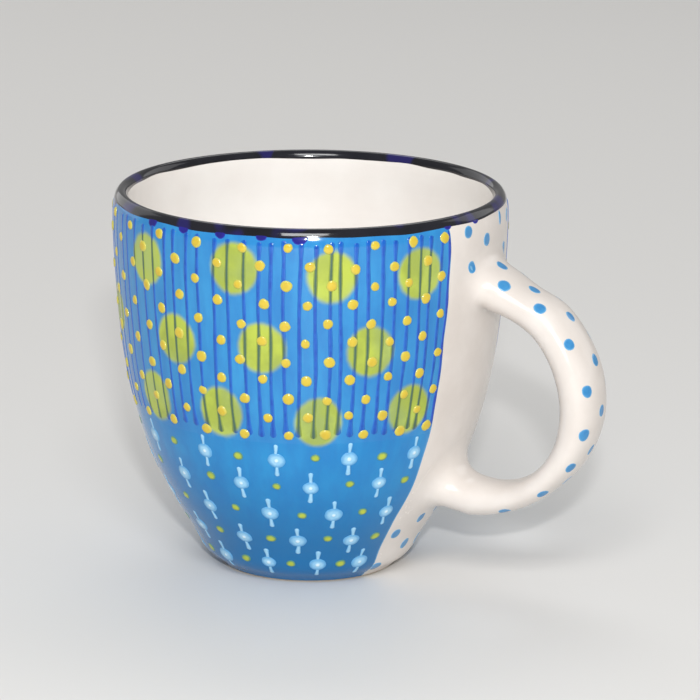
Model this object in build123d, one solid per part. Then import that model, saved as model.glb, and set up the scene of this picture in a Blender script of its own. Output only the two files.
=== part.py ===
"""Hand-painted stoneware mug: a rounded cup with a foot ring, a strap handle and its glazes.

Millimetres. The origin is the centre of the foot ring on the table, +Z is up and the handle lies
in the XZ plane on the +X side. Clay pieces, slip beds and glaze skins are separate closed solids.
"""
from build123d import *
from math import cos, pi, radians, sin
import os

# ---------------------------------------------------------------- cup
HEIGHT = 95.5            # table to the top of the lip
LIP_APEX_R = 46.9        # radius of the top of the lip
LIP_OUTER_R = 49.05      # radius where the outside starts to roll into the lip
LIP_ROLL_OUT = 4.9       # height of the outside roll
LIP_INNER_R = 45.35      # radius where the inside starts to roll into the lip
LIP_ROLL_IN = 2.2        # height of the inside roll
WALL_LOW = 4.4           # wall thickness near the floor, glazes included
WALL_HIGH = 3.5          # wall thickness just below the lip, glazes included
FLOOR_Z = 5.8            # inside floor, at the centre

# half section of the outer glazed surface below the lip, as (radius, height)
BODY_POINTS = [
    (22.3, 1.1), (25.2, 2.9), (28.3, 7.6), (32.9, 15.2), (38.4, 25.7), (42.9, 38.1),
    (46.2, 52.5), (47.9, 66.7), (48.85, 80.0),
]

FOOT_OUTER_R = 21.9
FOOT_INNER_R = 18.0
FOOT_H = 1.1             # bare ring that the mug stands on
RECESS_Z = 1.9           # clay underside inside the ring

# ---------------------------------------------------------------- glazes
GLAZE = 0.25             # thickness of the glaze skins
GAP = 0.03               # clearance kept between skins and clay
STATIONS = 60            # points that a whole section curve is drawn through
LIP_SHARE = 0.9          # from here on the curve bends tightly over the lip
LIP_STATIONS = 24        # points over the lip
HALVINGS = 40            # steps when a height is looked up on a curve
SEAM = 0.0005            # share of a curve kept clear on each side of a glaze seam
GLAZE_START_Z = 1.75     # outer glaze ends this far above the table
BAND_DROP = 2.3          # rim band reaches this far below the lip, inside and outside
PANEL_HALF_TOP = 18.2    # half width of the white zone round the handle, under the rim
PANEL_HALF_LOW = 13.6    # half width of the white zone at the foot
SPLIT_Z = 41.5           # striped glaze above, flowered glaze below

# ---------------------------------------------------------------- handle
# stations from the upper root to the lower root:
# x, z, heading in degrees (0 is +X, -90 is down), half thickness, half width
HANDLE_STATIONS = [
    (46.2, 77.6, -6, 11.2, 13.6),
    (48.6, 77.2, -12, 10.0, 11.8),
    (51.4, 75.7, -24, 7.2, 9.4),
    (57.4, 73.0, -32, 5.4, 8.1),
    (64.4, 68.5, -40, 5.0, 7.7),
    (70.0, 61.4, -58, 5.1, 7.9),
    (73.1, 53.2, -80, 5.2, 8.1),
    (73.5, 44.8, -96, 4.9, 7.9),
    (70.9, 36.2, -116, 4.1, 7.5),
    (65.4, 29.0, -138, 3.4, 7.1),
    (57.6, 24.3, -157, 3.1, 6.9),
    (49.6, 22.6, -178, 3.6, 7.1),
    (45.0, 23.0, -191, 4.6, 7.6),
    (41.5, 24.2, -200, 6.1, 8.7),
    (38.6, 25.6, -207, 8.8, 11.0),
    (36.5, 27.0, -209, 11.0, 13.5),
]


# ---------------------------------------------------------------- section curves
def point(radius, height):
    """Point of the half section in the XZ plane."""
    return Vector(radius, 0, height)


def lip_roll(wall_r, roll_height, count=6):
    """Quarter oval from a wall up to the top of the lip."""
    spots = []
    for i in range(count + 1):
        turn = pi / 2 * i / count
        radius = LIP_APEX_R + (wall_r - LIP_APEX_R) * cos(turn)
        spots.append(point(radius, HEIGHT - roll_height * (1 - sin(turn))))
    return spots


def outer_edge():
    """Outer glazed surface from the foot to the top of the lip."""
    body = [point(r, z) for r, z in BODY_POINTS]
    return Spline(*body, *lip_roll(LIP_OUTER_R, LIP_ROLL_OUT))


OUTER = outer_edge()


def edge_at_height(edge, height):
    """Curve parameter where a rising edge passes the given height."""
    low, high = 0.0, 1.0
    for _ in range(HALVINGS):
        middle = (low + high) / 2
        if (edge @ middle).Z < height:
            low = middle
        else:
            high = middle
    return (low + high) / 2


def normal_at(edge, u):
    """Unit normal to the right of the edge's direction, so away from the axis on a rising edge."""
    tangent = edge % u
    return Vector(tangent.Z, 0, -tangent.X).normalized()


def shifted(edge, distance, start=0.0, end=1.0):
    """Spline at a distance along the normal, through stations that every skin shares."""
    body = [i / STATIONS for i in range(1, STATIONS) if i / STATIONS < LIP_SHARE]
    lip = [LIP_SHARE + (1 - LIP_SHARE) * i / LIP_STATIONS for i in range(LIP_STATIONS)]
    margin = 0.3 * (1 - LIP_SHARE) / LIP_STATIONS
    middle = [u for u in body + lip if start + margin < u < end - margin]
    return Spline(*[(edge @ u) + normal_at(edge, u) * distance for u in [start, *middle, end]])


def inner_edge():
    """Inside glazed surface from the floor centre to the top of the lip."""
    first = edge_at_height(OUTER, 9.5)
    last = edge_at_height(OUTER, 84.0)
    spots = [point(0, FLOOR_Z), point(9, FLOOR_Z + 0.05), point(16.5, FLOOR_Z + 0.6)]
    steps = 7
    for i in range(steps + 1):
        share = i / steps
        u = first + (last - first) * share
        wall = WALL_LOW + (WALL_HIGH - WALL_LOW) * share
        spots.append((OUTER @ u) - normal_at(OUTER, u) * wall)
    return Spline(*spots, *lip_roll(LIP_INNER_R, LIP_ROLL_IN))


INNER = inner_edge()


def turned(edges):
    """Solid of revolution from the closed half section that the edges make."""
    return revolve(make_face(edges), Axis.Z)


def skin(edge, start, end, side):
    """Glaze skin lying under a surface; side is -1 for the outside and 1 for the inside."""
    face = shifted(edge, 0.0, start, end)
    back = shifted(edge, side * GLAZE, start, end)
    return turned([face, Line(face @ 1, back @ 1), back, Line(back @ 0, face @ 0)])


# ---------------------------------------------------------------- clay
BAND_OUT = edge_at_height(OUTER, HEIGHT - BAND_DROP)
BAND_IN = edge_at_height(INNER, HEIGHT - BAND_DROP)
SPLIT = edge_at_height(OUTER, SPLIT_Z)
GLAZE_START = edge_at_height(OUTER, GLAZE_START_Z)
CLAY_DEPTH = GLAZE + GAP


def cup_wall():
    """Clay wall and floor in one piece, standing on the foot ring."""
    outside = shifted(OUTER, -CLAY_DEPTH)
    inside = shifted(INNER, CLAY_DEPTH)
    recess = [point(0, RECESS_Z), point(FOOT_INNER_R, RECESS_Z), point(FOOT_INNER_R, FOOT_H + GAP)]
    under = Polyline(inside @ 0, *recess, outside @ 0)
    return turned([outside, Line(outside @ 1, inside @ 1), inside, *under.edges()])


def foot_ring():
    """Bare ring under the cup, with softened edges."""
    corners = [
        (FOOT_INNER_R, FOOT_H), (FOOT_INNER_R, 0.35), (FOOT_INNER_R + 0.45, 0),
        (FOOT_OUTER_R - 0.5, 0), (FOOT_OUTER_R, 0.4), (FOOT_OUTER_R, FOOT_H),
    ]
    return turned(Polyline([point(r, z) for r, z in corners], close=True))


def handle_blank():
    """Strap handle as an oval section carried through its stations, ends buried in the wall."""
    sections = []
    for x, z, heading, half_thick, half_wide in HANDLE_STATIONS:
        forward = Vector(cos(radians(heading)), 0, sin(radians(heading)))
        plane = Plane(origin=(x, 0, z), x_dir=(0, 1, 0), z_dir=forward)
        sections.append(plane * Ellipse(half_wide, half_thick))
    return loft(sections)


def filled_cup(depth):
    """Everything deeper than a distance under the outer surface, as one lump."""
    side = shifted(OUTER, -depth)
    top = point(0, (side @ 1).Z)
    base = point(0, (side @ 0).Z)
    return turned([side, Line(side @ 1, top), Line(top, base), Line(base, side @ 0)])


def largest(shape):
    """Biggest solid of a shape."""
    return shape.solids().sort_by(SortBy.VOLUME)[-1]


def handle(blank):
    """Handle cut off at the glazed surface."""
    return largest(blank - filled_cup(-GAP))


def slip_bed(blank, upper):
    """Thin bed of slip between a root of the handle and the clay."""
    beds = (blank - filled_cup(GLAZE)) & filled_cup(0.0)
    ranked = beds.solids().sort_by(Axis.Z)
    return ranked[-1] if upper else ranked[0]


# ---------------------------------------------------------------- glazes
def white_wedge(margin):
    """Tapered block that marks out the white zone round the handle."""
    low = PANEL_HALF_LOW + margin
    high = PANEL_HALF_TOP + margin
    corners = [(0, -low, 0), (0, low, 0), (0, high, HEIGHT), (0, -high, HEIGHT)]
    return extrude(make_face(Polyline(corners, close=True)), amount=70, dir=(1, 0, 0))


def white_panel_glaze(blank):
    """White glaze round the handle, with openings where its roots pass."""
    whole = skin(OUTER, GLAZE_START, BAND_OUT - SEAM, -1)
    return largest((whole & white_wedge(0.0)) - blank)


def blue_glaze(start, end):
    """Blue glaze all round the cup but for the white zone."""
    return skin(OUTER, start, end, -1) - white_wedge(GAP)


def inner_glaze():
    """White lining of the cup."""
    return skin(INNER, 0.0, BAND_IN, 1)


def base_glaze():
    """White glaze on the recessed underside."""
    disc = Cylinder(FOOT_INNER_R - 0.3, GLAZE, align=(Align.CENTER, Align.CENTER, Align.MIN))
    return Pos(0, 0, RECESS_Z - GLAZE - GAP) * disc


def rim_band():
    """Dark band wrapped over the lip."""
    out_start = BAND_OUT + SEAM
    in_start = BAND_IN + SEAM
    out_face = shifted(OUTER, 0.0, out_start, 1.0)
    in_face = shifted(INNER, 0.0, in_start, 1.0)
    out_back = shifted(OUTER, -GLAZE, out_start, 1.0)
    in_back = shifted(INNER, GLAZE, in_start, 1.0)
    return turned([
        out_face, in_face, Line(in_face @ 0, in_back @ 0), in_back,
        Line(in_back @ 1, out_back @ 1), out_back, Line(out_back @ 0, out_face @ 0),
    ])


# ---------------------------------------------------------------- files
def save(name, shape):
    """Write one node."""
    export_step(shape, f"parts/{name}.step")
    print(name, len(shape.solids()), round(shape.volume, 2))


def main():
    """Build every node."""
    os.makedirs("parts", exist_ok=True)
    blank = handle_blank()
    save("cup_wall", cup_wall())
    save("foot_ring", foot_ring())
    save("handle", handle(blank))
    save("upper_handle_slip", slip_bed(blank, True))
    save("lower_handle_slip", slip_bed(blank, False))
    save("white_panel_glaze", white_panel_glaze(blank))
    save("upper_blue_glaze", blue_glaze(SPLIT + SEAM, BAND_OUT - SEAM))
    save("lower_blue_glaze", blue_glaze(GLAZE_START, SPLIT - SEAM))
    save("inner_glaze", inner_glaze())
    save("base_glaze", base_glaze())
    save("rim_band", rim_band())


main()
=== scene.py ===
"""Hand-painted stoneware mug: glazes, handle and painted marks laid over the packed clay frame.

The cup's axis is Z, the handle lies in the XZ plane on the +X side, and all lengths are metres.
Every surface of the cup is drawn from one half section, so glazes, rim and marks stay in register.
"""
import logging
import math
import random
from dataclasses import dataclass, field
from enum import Enum
from typing import Callable, Iterable, Sequence

import bmesh
import bpy
import numpy as np
from mathutils import Matrix, Vector, noise
from mathutils.bvhtree import BVHTree


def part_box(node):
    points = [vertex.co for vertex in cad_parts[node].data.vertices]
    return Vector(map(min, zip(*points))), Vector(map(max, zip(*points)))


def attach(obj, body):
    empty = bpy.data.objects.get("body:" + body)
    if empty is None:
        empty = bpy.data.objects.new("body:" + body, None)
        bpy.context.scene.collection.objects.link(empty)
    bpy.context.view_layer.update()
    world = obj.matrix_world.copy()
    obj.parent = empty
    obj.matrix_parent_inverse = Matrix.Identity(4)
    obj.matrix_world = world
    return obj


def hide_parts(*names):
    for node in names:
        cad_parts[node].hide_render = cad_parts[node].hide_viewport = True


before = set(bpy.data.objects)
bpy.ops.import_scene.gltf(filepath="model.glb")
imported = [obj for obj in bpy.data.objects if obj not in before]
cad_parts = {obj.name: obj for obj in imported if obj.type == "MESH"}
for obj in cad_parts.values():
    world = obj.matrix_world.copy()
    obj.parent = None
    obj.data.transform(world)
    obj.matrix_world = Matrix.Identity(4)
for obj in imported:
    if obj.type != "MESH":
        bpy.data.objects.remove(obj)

LOG = logging.getLogger("mug")
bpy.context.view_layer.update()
BODY = "root"
MM = 0.001
FULL_TURN = 2 * math.pi
GLAZE = 0.25 * MM        # thickness of a coat of glaze
UNDER_BAND = 0.6 * MM    # how far the glazes run on under the rim band
MERGE_DIST = 1e-7        # vertices closer than this are one
ROOT_SHARP_DEG = 70.0    # edges of the handle that turn more than this stay sharp
RING_SHARP_DEG = 50.0    # the same on the foot ring
HAND_WOBBLE = 0.10 * MM  # how far the wall strays from the true round
WOBBLE_ROUND = 1.3       # how quickly the wobble changes round the cup
WOBBLE_UP = 22           # how quickly it changes up the wall
STEADY_R = 20 * MM       # closer to the axis than this the wobble fades out

Pair = tuple[float, float]
Colour = tuple[float, float, float]
Socket = bpy.types.NodeSocket
Piece = bpy.types.Object


# ---------------------------------------------------------------- half sections
class Side(Enum):
    """Which glazed face of the wall a section follows."""

    OUTSIDE = 1
    INSIDE = -1


class Section:
    """Smooth half section through a few points, measured along its length."""

    SAMPLES = 900

    def __init__(self, points: Sequence[Pair], side: Side) -> None:
        """Draw a natural cubic through the points.

        Args:
            points: radius and height pairs, from the bottom up, in metres.
            side: the face of the wall that the section follows.
        """
        knots = np.array(points)
        chords = np.hypot(*np.diff(knots, axis=0).T)
        self.knot_at = np.concatenate([[0.0], np.cumsum(chords)])
        dense = np.linspace(0, self.knot_at[-1], self.SAMPLES)
        curve = np.column_stack([self._cubic(knots[:, k], dense) for k in (0, 1)])
        self.points = curve
        self.lengths = np.concatenate([[0.0], np.cumsum(np.hypot(*np.diff(curve, axis=0).T))])
        slope = np.gradient(curve, self.lengths, axis=0)
        slope /= np.linalg.norm(slope, axis=1)[:, None]
        self.normals = np.column_stack([slope[:, 1], -slope[:, 0]]) * side.value
        self.end = float(self.lengths[-1])

    def _cubic(self, values: np.ndarray, dense: np.ndarray) -> np.ndarray:
        """Natural cubic spline values.

        Args:
            values: one coordinate of the knots.
            dense: places along the chords.

        Returns:
            The coordinate at each place.
        """
        x = self.knot_at
        h = np.diff(x)
        size = len(x)
        system = np.eye(size)
        right = np.zeros(size)
        for i in range(1, size - 1):
            system[i, i - 1:i + 2] = h[i - 1], 2 * (h[i - 1] + h[i]), h[i]
            after = (values[i + 1] - values[i]) / h[i]
            before = (values[i] - values[i - 1]) / h[i - 1]
            right[i] = 6 * (after - before)
        bend = np.linalg.solve(system, right)
        k = np.clip(np.searchsorted(x, dense) - 1, 0, size - 2)
        a = (x[k + 1] - dense) / h[k]
        b = (dense - x[k]) / h[k]
        curve = (a ** 3 - a) * bend[k] + (b ** 3 - b) * bend[k + 1]
        return a * values[k] + b * values[k + 1] + curve * h[k] ** 2 / 6

    def at(self, length: float, lift: float = 0.0) -> Pair:
        """Radius and height at a length along the section, lifted off the surface."""
        spot = [np.interp(length, self.lengths, self.points[:, k]) for k in (0, 1)]
        out = [np.interp(length, self.lengths, self.normals[:, k]) for k in (0, 1)]
        return float(spot[0] + out[0] * lift), float(spot[1] + out[1] * lift)

    def normal(self, length: float) -> Pair:
        """Outward normal of the glaze at a length along the section."""
        out = [np.interp(length, self.lengths, self.normals[:, k]) for k in (0, 1)]
        return float(out[0]), float(out[1])

    def at_height(self, height: float) -> float:
        """Length along the section where it reaches a height."""
        return float(np.interp(height, self.points[:, 1], self.lengths))


@dataclass(frozen=True)
class CupShape:
    """Sizes of the cup, and the sections worked out from them."""

    height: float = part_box("rim_band")[1].z
    lip_apex_r: float = 46.9 * MM
    lip_outer_r: float = 49.05 * MM
    lip_roll_out: float = 4.9 * MM
    lip_inner_r: float = 45.35 * MM
    lip_roll_in: float = 2.2 * MM
    wall_low: float = 4.4 * MM
    wall_high: float = 3.5 * MM
    wall_from_z: float = 9.5 * MM
    wall_to_z: float = 84 * MM
    wall_steps: int = 7
    floor_z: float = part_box("inner_glaze")[0].z + GLAZE
    floor_rise: tuple[Pair, ...] = ((0.0, 0.0), (9.0, 0.05), (16.5, 0.6))
    band_z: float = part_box("rim_band")[1].z - 2.0 * MM
    band_in_z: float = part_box("rim_band")[1].z - 1.85 * MM
    split_z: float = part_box("lower_blue_glaze")[1].z
    glaze_low_z: float = 0.4 * MM
    white_half_top: float = 18.0 * MM
    white_taper: float = 3.2 * MM
    taper_power: float = 1.6
    white_pinch: float = 5.1 * MM
    white_pinch_height: float = 19 * MM
    pinch_power: float = 1.55
    body_points: tuple[Pair, ...] = (
        (22.05, 0.3), (22.9, 1.2), (25.2, 2.9), (28.3, 7.6), (32.9, 15.2),
        (38.4, 25.7), (42.9, 38.1), (46.2, 52.5), (47.9, 66.7), (48.85, 80.0),
    )

    def lip_roll(self, wall_r: float, rise: float, count: int = 6) -> list[Pair]:
        """Quarter oval from a wall up to the top of the lip.

        Args:
            wall_r: radius where the roll starts.
            rise: height of the roll.
            count: number of steps.

        Returns:
            Radius and height pairs.
        """
        reach = wall_r - self.lip_apex_r
        turns = [math.pi / 2 * i / count for i in range(count + 1)]
        return [
            (self.lip_apex_r + reach * math.cos(t), self.height - rise * (1 - math.sin(t)))
            for t in turns
        ]

    def outside(self) -> Section:
        """Outer glazed section, from the foot to the top of the lip."""
        body = [(r * MM, z * MM) for r, z in self.body_points]
        return Section(body + self.lip_roll(self.lip_outer_r, self.lip_roll_out), Side.OUTSIDE)

    def inside(self, outside: Section) -> Section:
        """Inner glazed section, from the middle of the floor to the top of the lip.

        Args:
            outside: the outer section, which the inside runs beside.

        Returns:
            The inner section.
        """
        points = [(r * MM, self.floor_z + rise * MM) for r, rise in self.floor_rise]
        first, last = outside.at_height(self.wall_from_z), outside.at_height(self.wall_to_z)
        for i in range(self.wall_steps + 1):
            share = i / self.wall_steps
            wall = self.wall_low + (self.wall_high - self.wall_low) * share
            points.append(outside.at(first + (last - first) * share, -wall))
        return Section(points + self.lip_roll(self.lip_inner_r, self.lip_roll_in), Side.INSIDE)

    def white_half(self, height: float) -> float:
        """Half width of the white zone at a height."""
        even = self.white_half_top - self.white_taper * (1 - height / self.height) ** self.taper_power
        low_share = max(0.0, 1 - height / self.white_pinch_height)
        return even - self.white_pinch * low_share ** self.pinch_power


CUP = CupShape()
OUTSIDE = CUP.outside()
INSIDE = CUP.inside(OUTSIDE)


def hand_wobble(angle: float, height: float) -> float:
    """Small unevenness of a hand-finished wall, in metres off the true round."""
    spot = Vector((math.cos(angle) * WOBBLE_ROUND, math.sin(angle) * WOBBLE_ROUND, height * WOBBLE_UP))
    return noise.noise(spot) * HAND_WOBBLE


def around(radius: float, angle: float, height: float) -> Vector:
    """Point at a radius, angle and height."""
    return Vector((radius * math.cos(angle), radius * math.sin(angle), height))


def on_cup(section: Section, length: float, angle: float, lift: float = 0.0) -> Vector:
    """Point of a glazed face, with the hand wobble.

    Args:
        section: the section that the face follows.
        length: how far along the section.
        angle: angle from +X, in radians.
        lift: distance off the face.

    Returns:
        The point.
    """
    radius, height = section.at(length, lift)
    wobble = hand_wobble(angle, height) * min(1.0, radius / STEADY_R)
    return around(radius + wobble, angle, height)


def facing_on_cup(length: float, angle: float) -> Matrix:
    """Turn that lays a mark on the outside: X along the round, Y up the wall, Z outwards.

    Args:
        length: how far along the outer section.
        angle: angle from +X, in radians.

    Returns:
        The turn.
    """
    nr, nz = OUTSIDE.normal(length)
    out = Vector((nr * math.cos(angle), nr * math.sin(angle), nz))
    along = Vector((-math.sin(angle), math.cos(angle), 0))
    return Matrix((along, out.cross(along), out)).transposed()


# ---------------------------------------------------------------- mesh helpers
def smooth_step(low: float, high: float, value: float) -> float:
    """Smooth change from 0 at low to 1 at high."""
    share = min(1.0, max(0.0, (value - low) / (high - low)))
    return share * share * (3 - 2 * share)


def new_piece(name: str, mesh: bpy.types.Mesh) -> Piece:
    """Object at the origin that holds a mesh."""
    piece = bpy.data.objects.new(name, mesh)
    bpy.context.scene.collection.objects.link(piece)
    return piece


def mesh_from_bmesh(name: str, work: bmesh.types.BMesh, sharp_deg: float = 40.0) -> bpy.types.Mesh:
    """Finished mesh with outward normals, smooth faces and sharp thin edges.

    Args:
        name: name of the mesh.
        work: the bmesh, freed here.
        sharp_deg: edges that turn more than this stay sharp.

    Returns:
        The mesh.
    """
    bmesh.ops.recalc_face_normals(work, faces=work.faces)
    limit = math.radians(sharp_deg)
    for edge in work.edges:
        if edge.is_manifold and edge.calc_face_angle(0.0) > limit:
            edge.smooth = False
    for face in work.faces:
        face.smooth = True
    mesh = bpy.data.meshes.new(name)
    work.to_mesh(mesh)
    work.free()
    return mesh


def join_lines(work: bmesh.types.BMesh, low: Sequence, high: Sequence, wrap: bool) -> None:
    """Quads between two lines of vertices.

    Args:
        work: the bmesh that holds the vertices.
        low: first line.
        high: second line, with as many vertices.
        wrap: True if the last vertex joins the first again.
    """
    count = len(low)
    for i in range(count if wrap else count - 1):
        k = (i + 1) % count
        work.faces.new((low[i], low[k], high[k], high[i]))


Rule = Callable[[float, float], Vector]


@dataclass
class SkinGrid:
    """Closed thin skin between a front face and a back face, both given by rules of (u, v)."""

    name: str
    columns: int
    rows: int
    front: Rule
    back: Rule
    closed_round: bool = False
    pole: bool = False

    def build(self) -> bpy.types.Mesh:
        """Make the mesh, with u running round the cup and v along the section.

        Returns:
            The mesh.
        """
        work = bmesh.new()
        front, back = (self._face(work, rule) for rule in (self.front, self.back))
        self._fill(work, front)
        self._fill(work, back)
        last = self.columns if self.closed_round else self.columns + 1
        for j in ((self.rows,) if self.pole else (0, self.rows)):
            join_lines(work, front[j], back[j], self.closed_round)
        if not self.closed_round:
            for i in (0, last - 1):
                join_lines(work, [row[i] for row in front], [row[i] for row in back], False)
        bmesh.ops.remove_doubles(work, verts=work.verts, dist=MERGE_DIST)
        return mesh_from_bmesh(self.name, work)

    def _face(self, work: bmesh.types.BMesh, rule: Rule) -> list[list[bmesh.types.BMVert]]:
        """Grid of vertices from a rule.

        Args:
            work: the bmesh.
            rule: gives the point at (u, v).

        Returns:
            The rows of vertices.
        """
        count = self.columns if self.closed_round else self.columns + 1
        return [
            [work.verts.new(rule(i / self.columns, j / self.rows)) for i in range(count)]
            for j in range(self.rows + 1)
        ]

    def _fill(self, work: bmesh.types.BMesh, grid: list[list[bmesh.types.BMVert]]) -> None:
        """Quads between the rows of a grid."""
        for low, high in zip(grid, grid[1:]):
            join_lines(work, low, high, self.closed_round)


def write_attribute(mesh: bpy.types.Mesh, name: str, values: Iterable[float]) -> None:
    """Store one number for each vertex."""
    layer = mesh.attributes.new(name, "FLOAT", "POINT")
    layer.data.foreach_set("value", np.fromiter(values, dtype=np.float32, count=len(mesh.vertices)))


# ---------------------------------------------------------------- shader node helpers
class NodeSheet:
    """Short way to place and join nodes in a tree."""

    def __init__(self, tree: bpy.types.NodeTree) -> None:
        """Work on a tree."""
        self.tree = tree

    def add(self, kind: str, settings: dict | None = None, **inputs: object) -> bpy.types.Node:
        """Place a node.

        Args:
            kind: Blender's node type.
            settings: properties of the node.
            inputs: values or sockets, by socket name with spaces as underscores, or i0, i1 by number.

        Returns:
            The node.
        """
        node = self.tree.nodes.new(kind)
        for key, value in (settings or {}).items():
            setattr(node, key, value)
        for key, value in inputs.items():
            self.join(value, self._input(node, key))
        return node

    @staticmethod
    def _input(node: bpy.types.Node, key: str) -> Socket:
        """Input that a short name stands for.

        Args:
            node: the node.
            key: i and a number, or the socket's name with spaces as underscores.

        Returns:
            The input socket.
        """
        number = key[1:]
        if key[0] == "i" and number.isdigit():
            return node.inputs[int(number)]
        return node.inputs[key.replace("_", " ")]

    def join(self, value: object, socket: Socket) -> None:
        """Link a socket or set a value.

        Args:
            value: an output to link, or a plain value.
            socket: the input.
        """
        if isinstance(value, Socket):
            self.tree.links.new(value, socket)
        else:
            socket.default_value = value

    def math(self, operation: str, first: object, second: object = 0.0) -> Socket:
        """Result of a Math node."""
        return self.add("ShaderNodeMath", {"operation": operation}, i0=first, i1=second).outputs[0]

    def ramp(
        self, value: object, low: float, high: float, to_low: float = 0.0, to_high: float = 1.0,
    ) -> Socket:
        """Smooth change of a value from one range to another.

        Args:
            value: the value.
            low: where the change starts.
            high: where it ends.
            to_low: result at the start.
            to_high: result at the end.

        Returns:
            The socket of the result.
        """
        smooth = {"interpolation_type": "SMOOTHSTEP"}
        node = self.add("ShaderNodeMapRange", smooth, i0=value, i1=low, i2=high, i3=to_low, i4=to_high)
        return node.outputs[0]

    def mix(self, share: object, first: object, second: object) -> Socket:
        """Colour between two colours."""
        node = self.add("ShaderNodeMix", {"data_type": "RGBA"}, i0=share, i6=first, i7=second)
        return node.outputs[2]

    def noise(self, place: object, scale: float, detail: float = 3.0, rough: float = 0.5) -> Socket:
        """Grey noise at a place."""
        node = self.add("ShaderNodeTexNoise", None, Vector=place, Scale=scale, Detail=detail, Roughness=rough)
        return node.outputs[0]

    def stray(self, value: object, amount: float) -> Socket:
        """Noise about its middle, times an amount."""
        return self.math("MULTIPLY", self.math("SUBTRACT", value, 0.5), amount)

    def object_place(self) -> Socket:
        """Place on the piece, in its own coordinates."""
        return self.add("ShaderNodeTexCoord").outputs["Object"]

    def stored(self, name: str) -> Socket:
        """Number stored on the mesh under a name."""
        return self.add("ShaderNodeAttribute", {"attribute_name": name}).outputs["Fac"]

    def stretched(self, place: object, scale: tuple[float, float, float]) -> Socket:
        """Place with its three axes scaled, for a pattern that runs one way."""
        node = self.add("ShaderNodeMapping", None, Vector=place)
        node.inputs["Scale"].default_value = scale
        return node.outputs[0]


def rgba(colour: Colour) -> tuple[float, float, float, float]:
    """Colour with full alpha."""
    return (*colour, 1.0)


def srgb(red: int, green: int, blue: int) -> Colour:
    """Linear colour from the three numbers of a paint chart.

    Args:
        red: 0 to 255.
        green: 0 to 255.
        blue: 0 to 255.

    Returns:
        The linear colour.
    """
    def line(part: int) -> float:
        """One channel made linear."""
        share = part / 255
        return share / 12.92 if share <= 0.04045 else ((share + 0.055) / 1.055) ** 2.4
    return line(red), line(green), line(blue)


class SocketKind(Enum):
    """Kinds of group socket."""

    NUMBER = "NodeSocketFloat"
    WHOLE = "NodeSocketInt"
    OBJECT = "NodeSocketObject"
    GEOMETRY = "NodeSocketGeometry"
    PAINT = "NodeSocketMaterial"


Group = tuple[NodeSheet, bpy.types.Node, bpy.types.Node]


def new_group(name: str, takes: dict[str, float], gives: Sequence[str]) -> Group:
    """Shader group of numbers in and numbers out.

    Args:
        name: name of the group.
        takes: input names and their usual values.
        gives: output names.

    Returns:
        The sheet to draw on, the input node and the output node.
    """
    tree = bpy.data.node_groups.new(name, "ShaderNodeTree")
    for key, value in takes.items():
        socket = tree.interface.new_socket(key, in_out="INPUT", socket_type=SocketKind.NUMBER.value)
        socket.default_value = value
    for key in gives:
        tree.interface.new_socket(key, in_out="OUTPUT", socket_type=SocketKind.NUMBER.value)
    sheet = NodeSheet(tree)
    return sheet, sheet.add("NodeGroupInput"), sheet.add("NodeGroupOutput")


def glaze_group() -> bpy.types.NodeTree:
    """Unevenness that all the glazes share: cloudy tone, fine pits, iron specks and a rippled gloss.

    Returns:
        The group.
    """
    takes = {"Cloud Size": 90.0, "Speck Share": 0.02, "Ripple": 1.0}
    sheet, given, result = new_group("glaze_unevenness", takes, ("Cloud", "Specks", "Roughness", "Height"))
    place = sheet.object_place()
    cloud = sheet.noise(place, given.outputs["Cloud Size"], 4.0, 0.55)
    broad = sheet.noise(place, 26.0, 2.0)
    fine = sheet.noise(place, 900.0, 3.0, 0.6)
    ripple = sheet.noise(place, 140.0, 2.0, 0.45)
    cells = sheet.add("ShaderNodeTexVoronoi", None, Vector=place, Scale=900.0)
    chance = sheet.add("ShaderNodeSeparateColor", None, i0=cells.outputs["Color"]).outputs[0]
    rare = sheet.math("LESS_THAN", chance, given.outputs["Speck Share"])
    core = sheet.ramp(cells.outputs["Distance"], 0.08, 0.24, 0.75, 0.0)
    specks = sheet.math("MULTIPLY", rare, core)
    tone = sheet.math("ADD", sheet.math("MULTIPLY", cloud, 0.6), sheet.math("MULTIPLY", broad, 0.4))
    sheet.join(sheet.ramp(tone, 0.32, 0.68), result.inputs["Cloud"])
    sheet.join(specks, result.inputs["Specks"])
    rough = sheet.math("ADD", 0.05, sheet.math("MULTIPLY", sheet.ramp(broad, 0.35, 0.7), 0.07))
    rough = sheet.math("ADD", rough, sheet.math("MULTIPLY", fine, 0.05))
    sheet.join(rough, result.inputs["Roughness"])
    swell = sheet.math("MULTIPLY", ripple, given.outputs["Ripple"])
    height = sheet.math("ADD", swell, sheet.math("MULTIPLY", fine, 0.03))
    height = sheet.math("SUBTRACT", height, sheet.math("MULTIPLY", specks, 0.25))
    sheet.join(height, result.inputs["Height"])
    return sheet.tree


def thin_group() -> bpy.types.NodeTree:
    """How thin the paint of a mark is: 0 where it is thick, 1 at its ragged edge.

    Returns:
        The group.
    """
    sheet, given, result = new_group("paint_thinness", {"Ragged": 0.25, "Soft": 0.35}, ("Thin", "Pool"))
    place = sheet.object_place()
    edge = sheet.stored("thin")
    grain = sheet.noise(place, 1300.0, 3.0, 0.6)
    shift = sheet.stray(grain, given.outputs["Ragged"])
    ragged = sheet.math("ADD", edge, shift)
    start = sheet.math("SUBTRACT", 1.0, given.outputs["Soft"])
    share = sheet.math("DIVIDE", sheet.math("SUBTRACT", ragged, start), given.outputs["Soft"])
    sheet.join(sheet.ramp(share, 0.0, 1.0), result.inputs["Thin"])
    sheet.join(sheet.ramp(sheet.noise(place, 520.0, 2.0), 0.38, 0.66), result.inputs["Pool"])
    return sheet.tree


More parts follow.
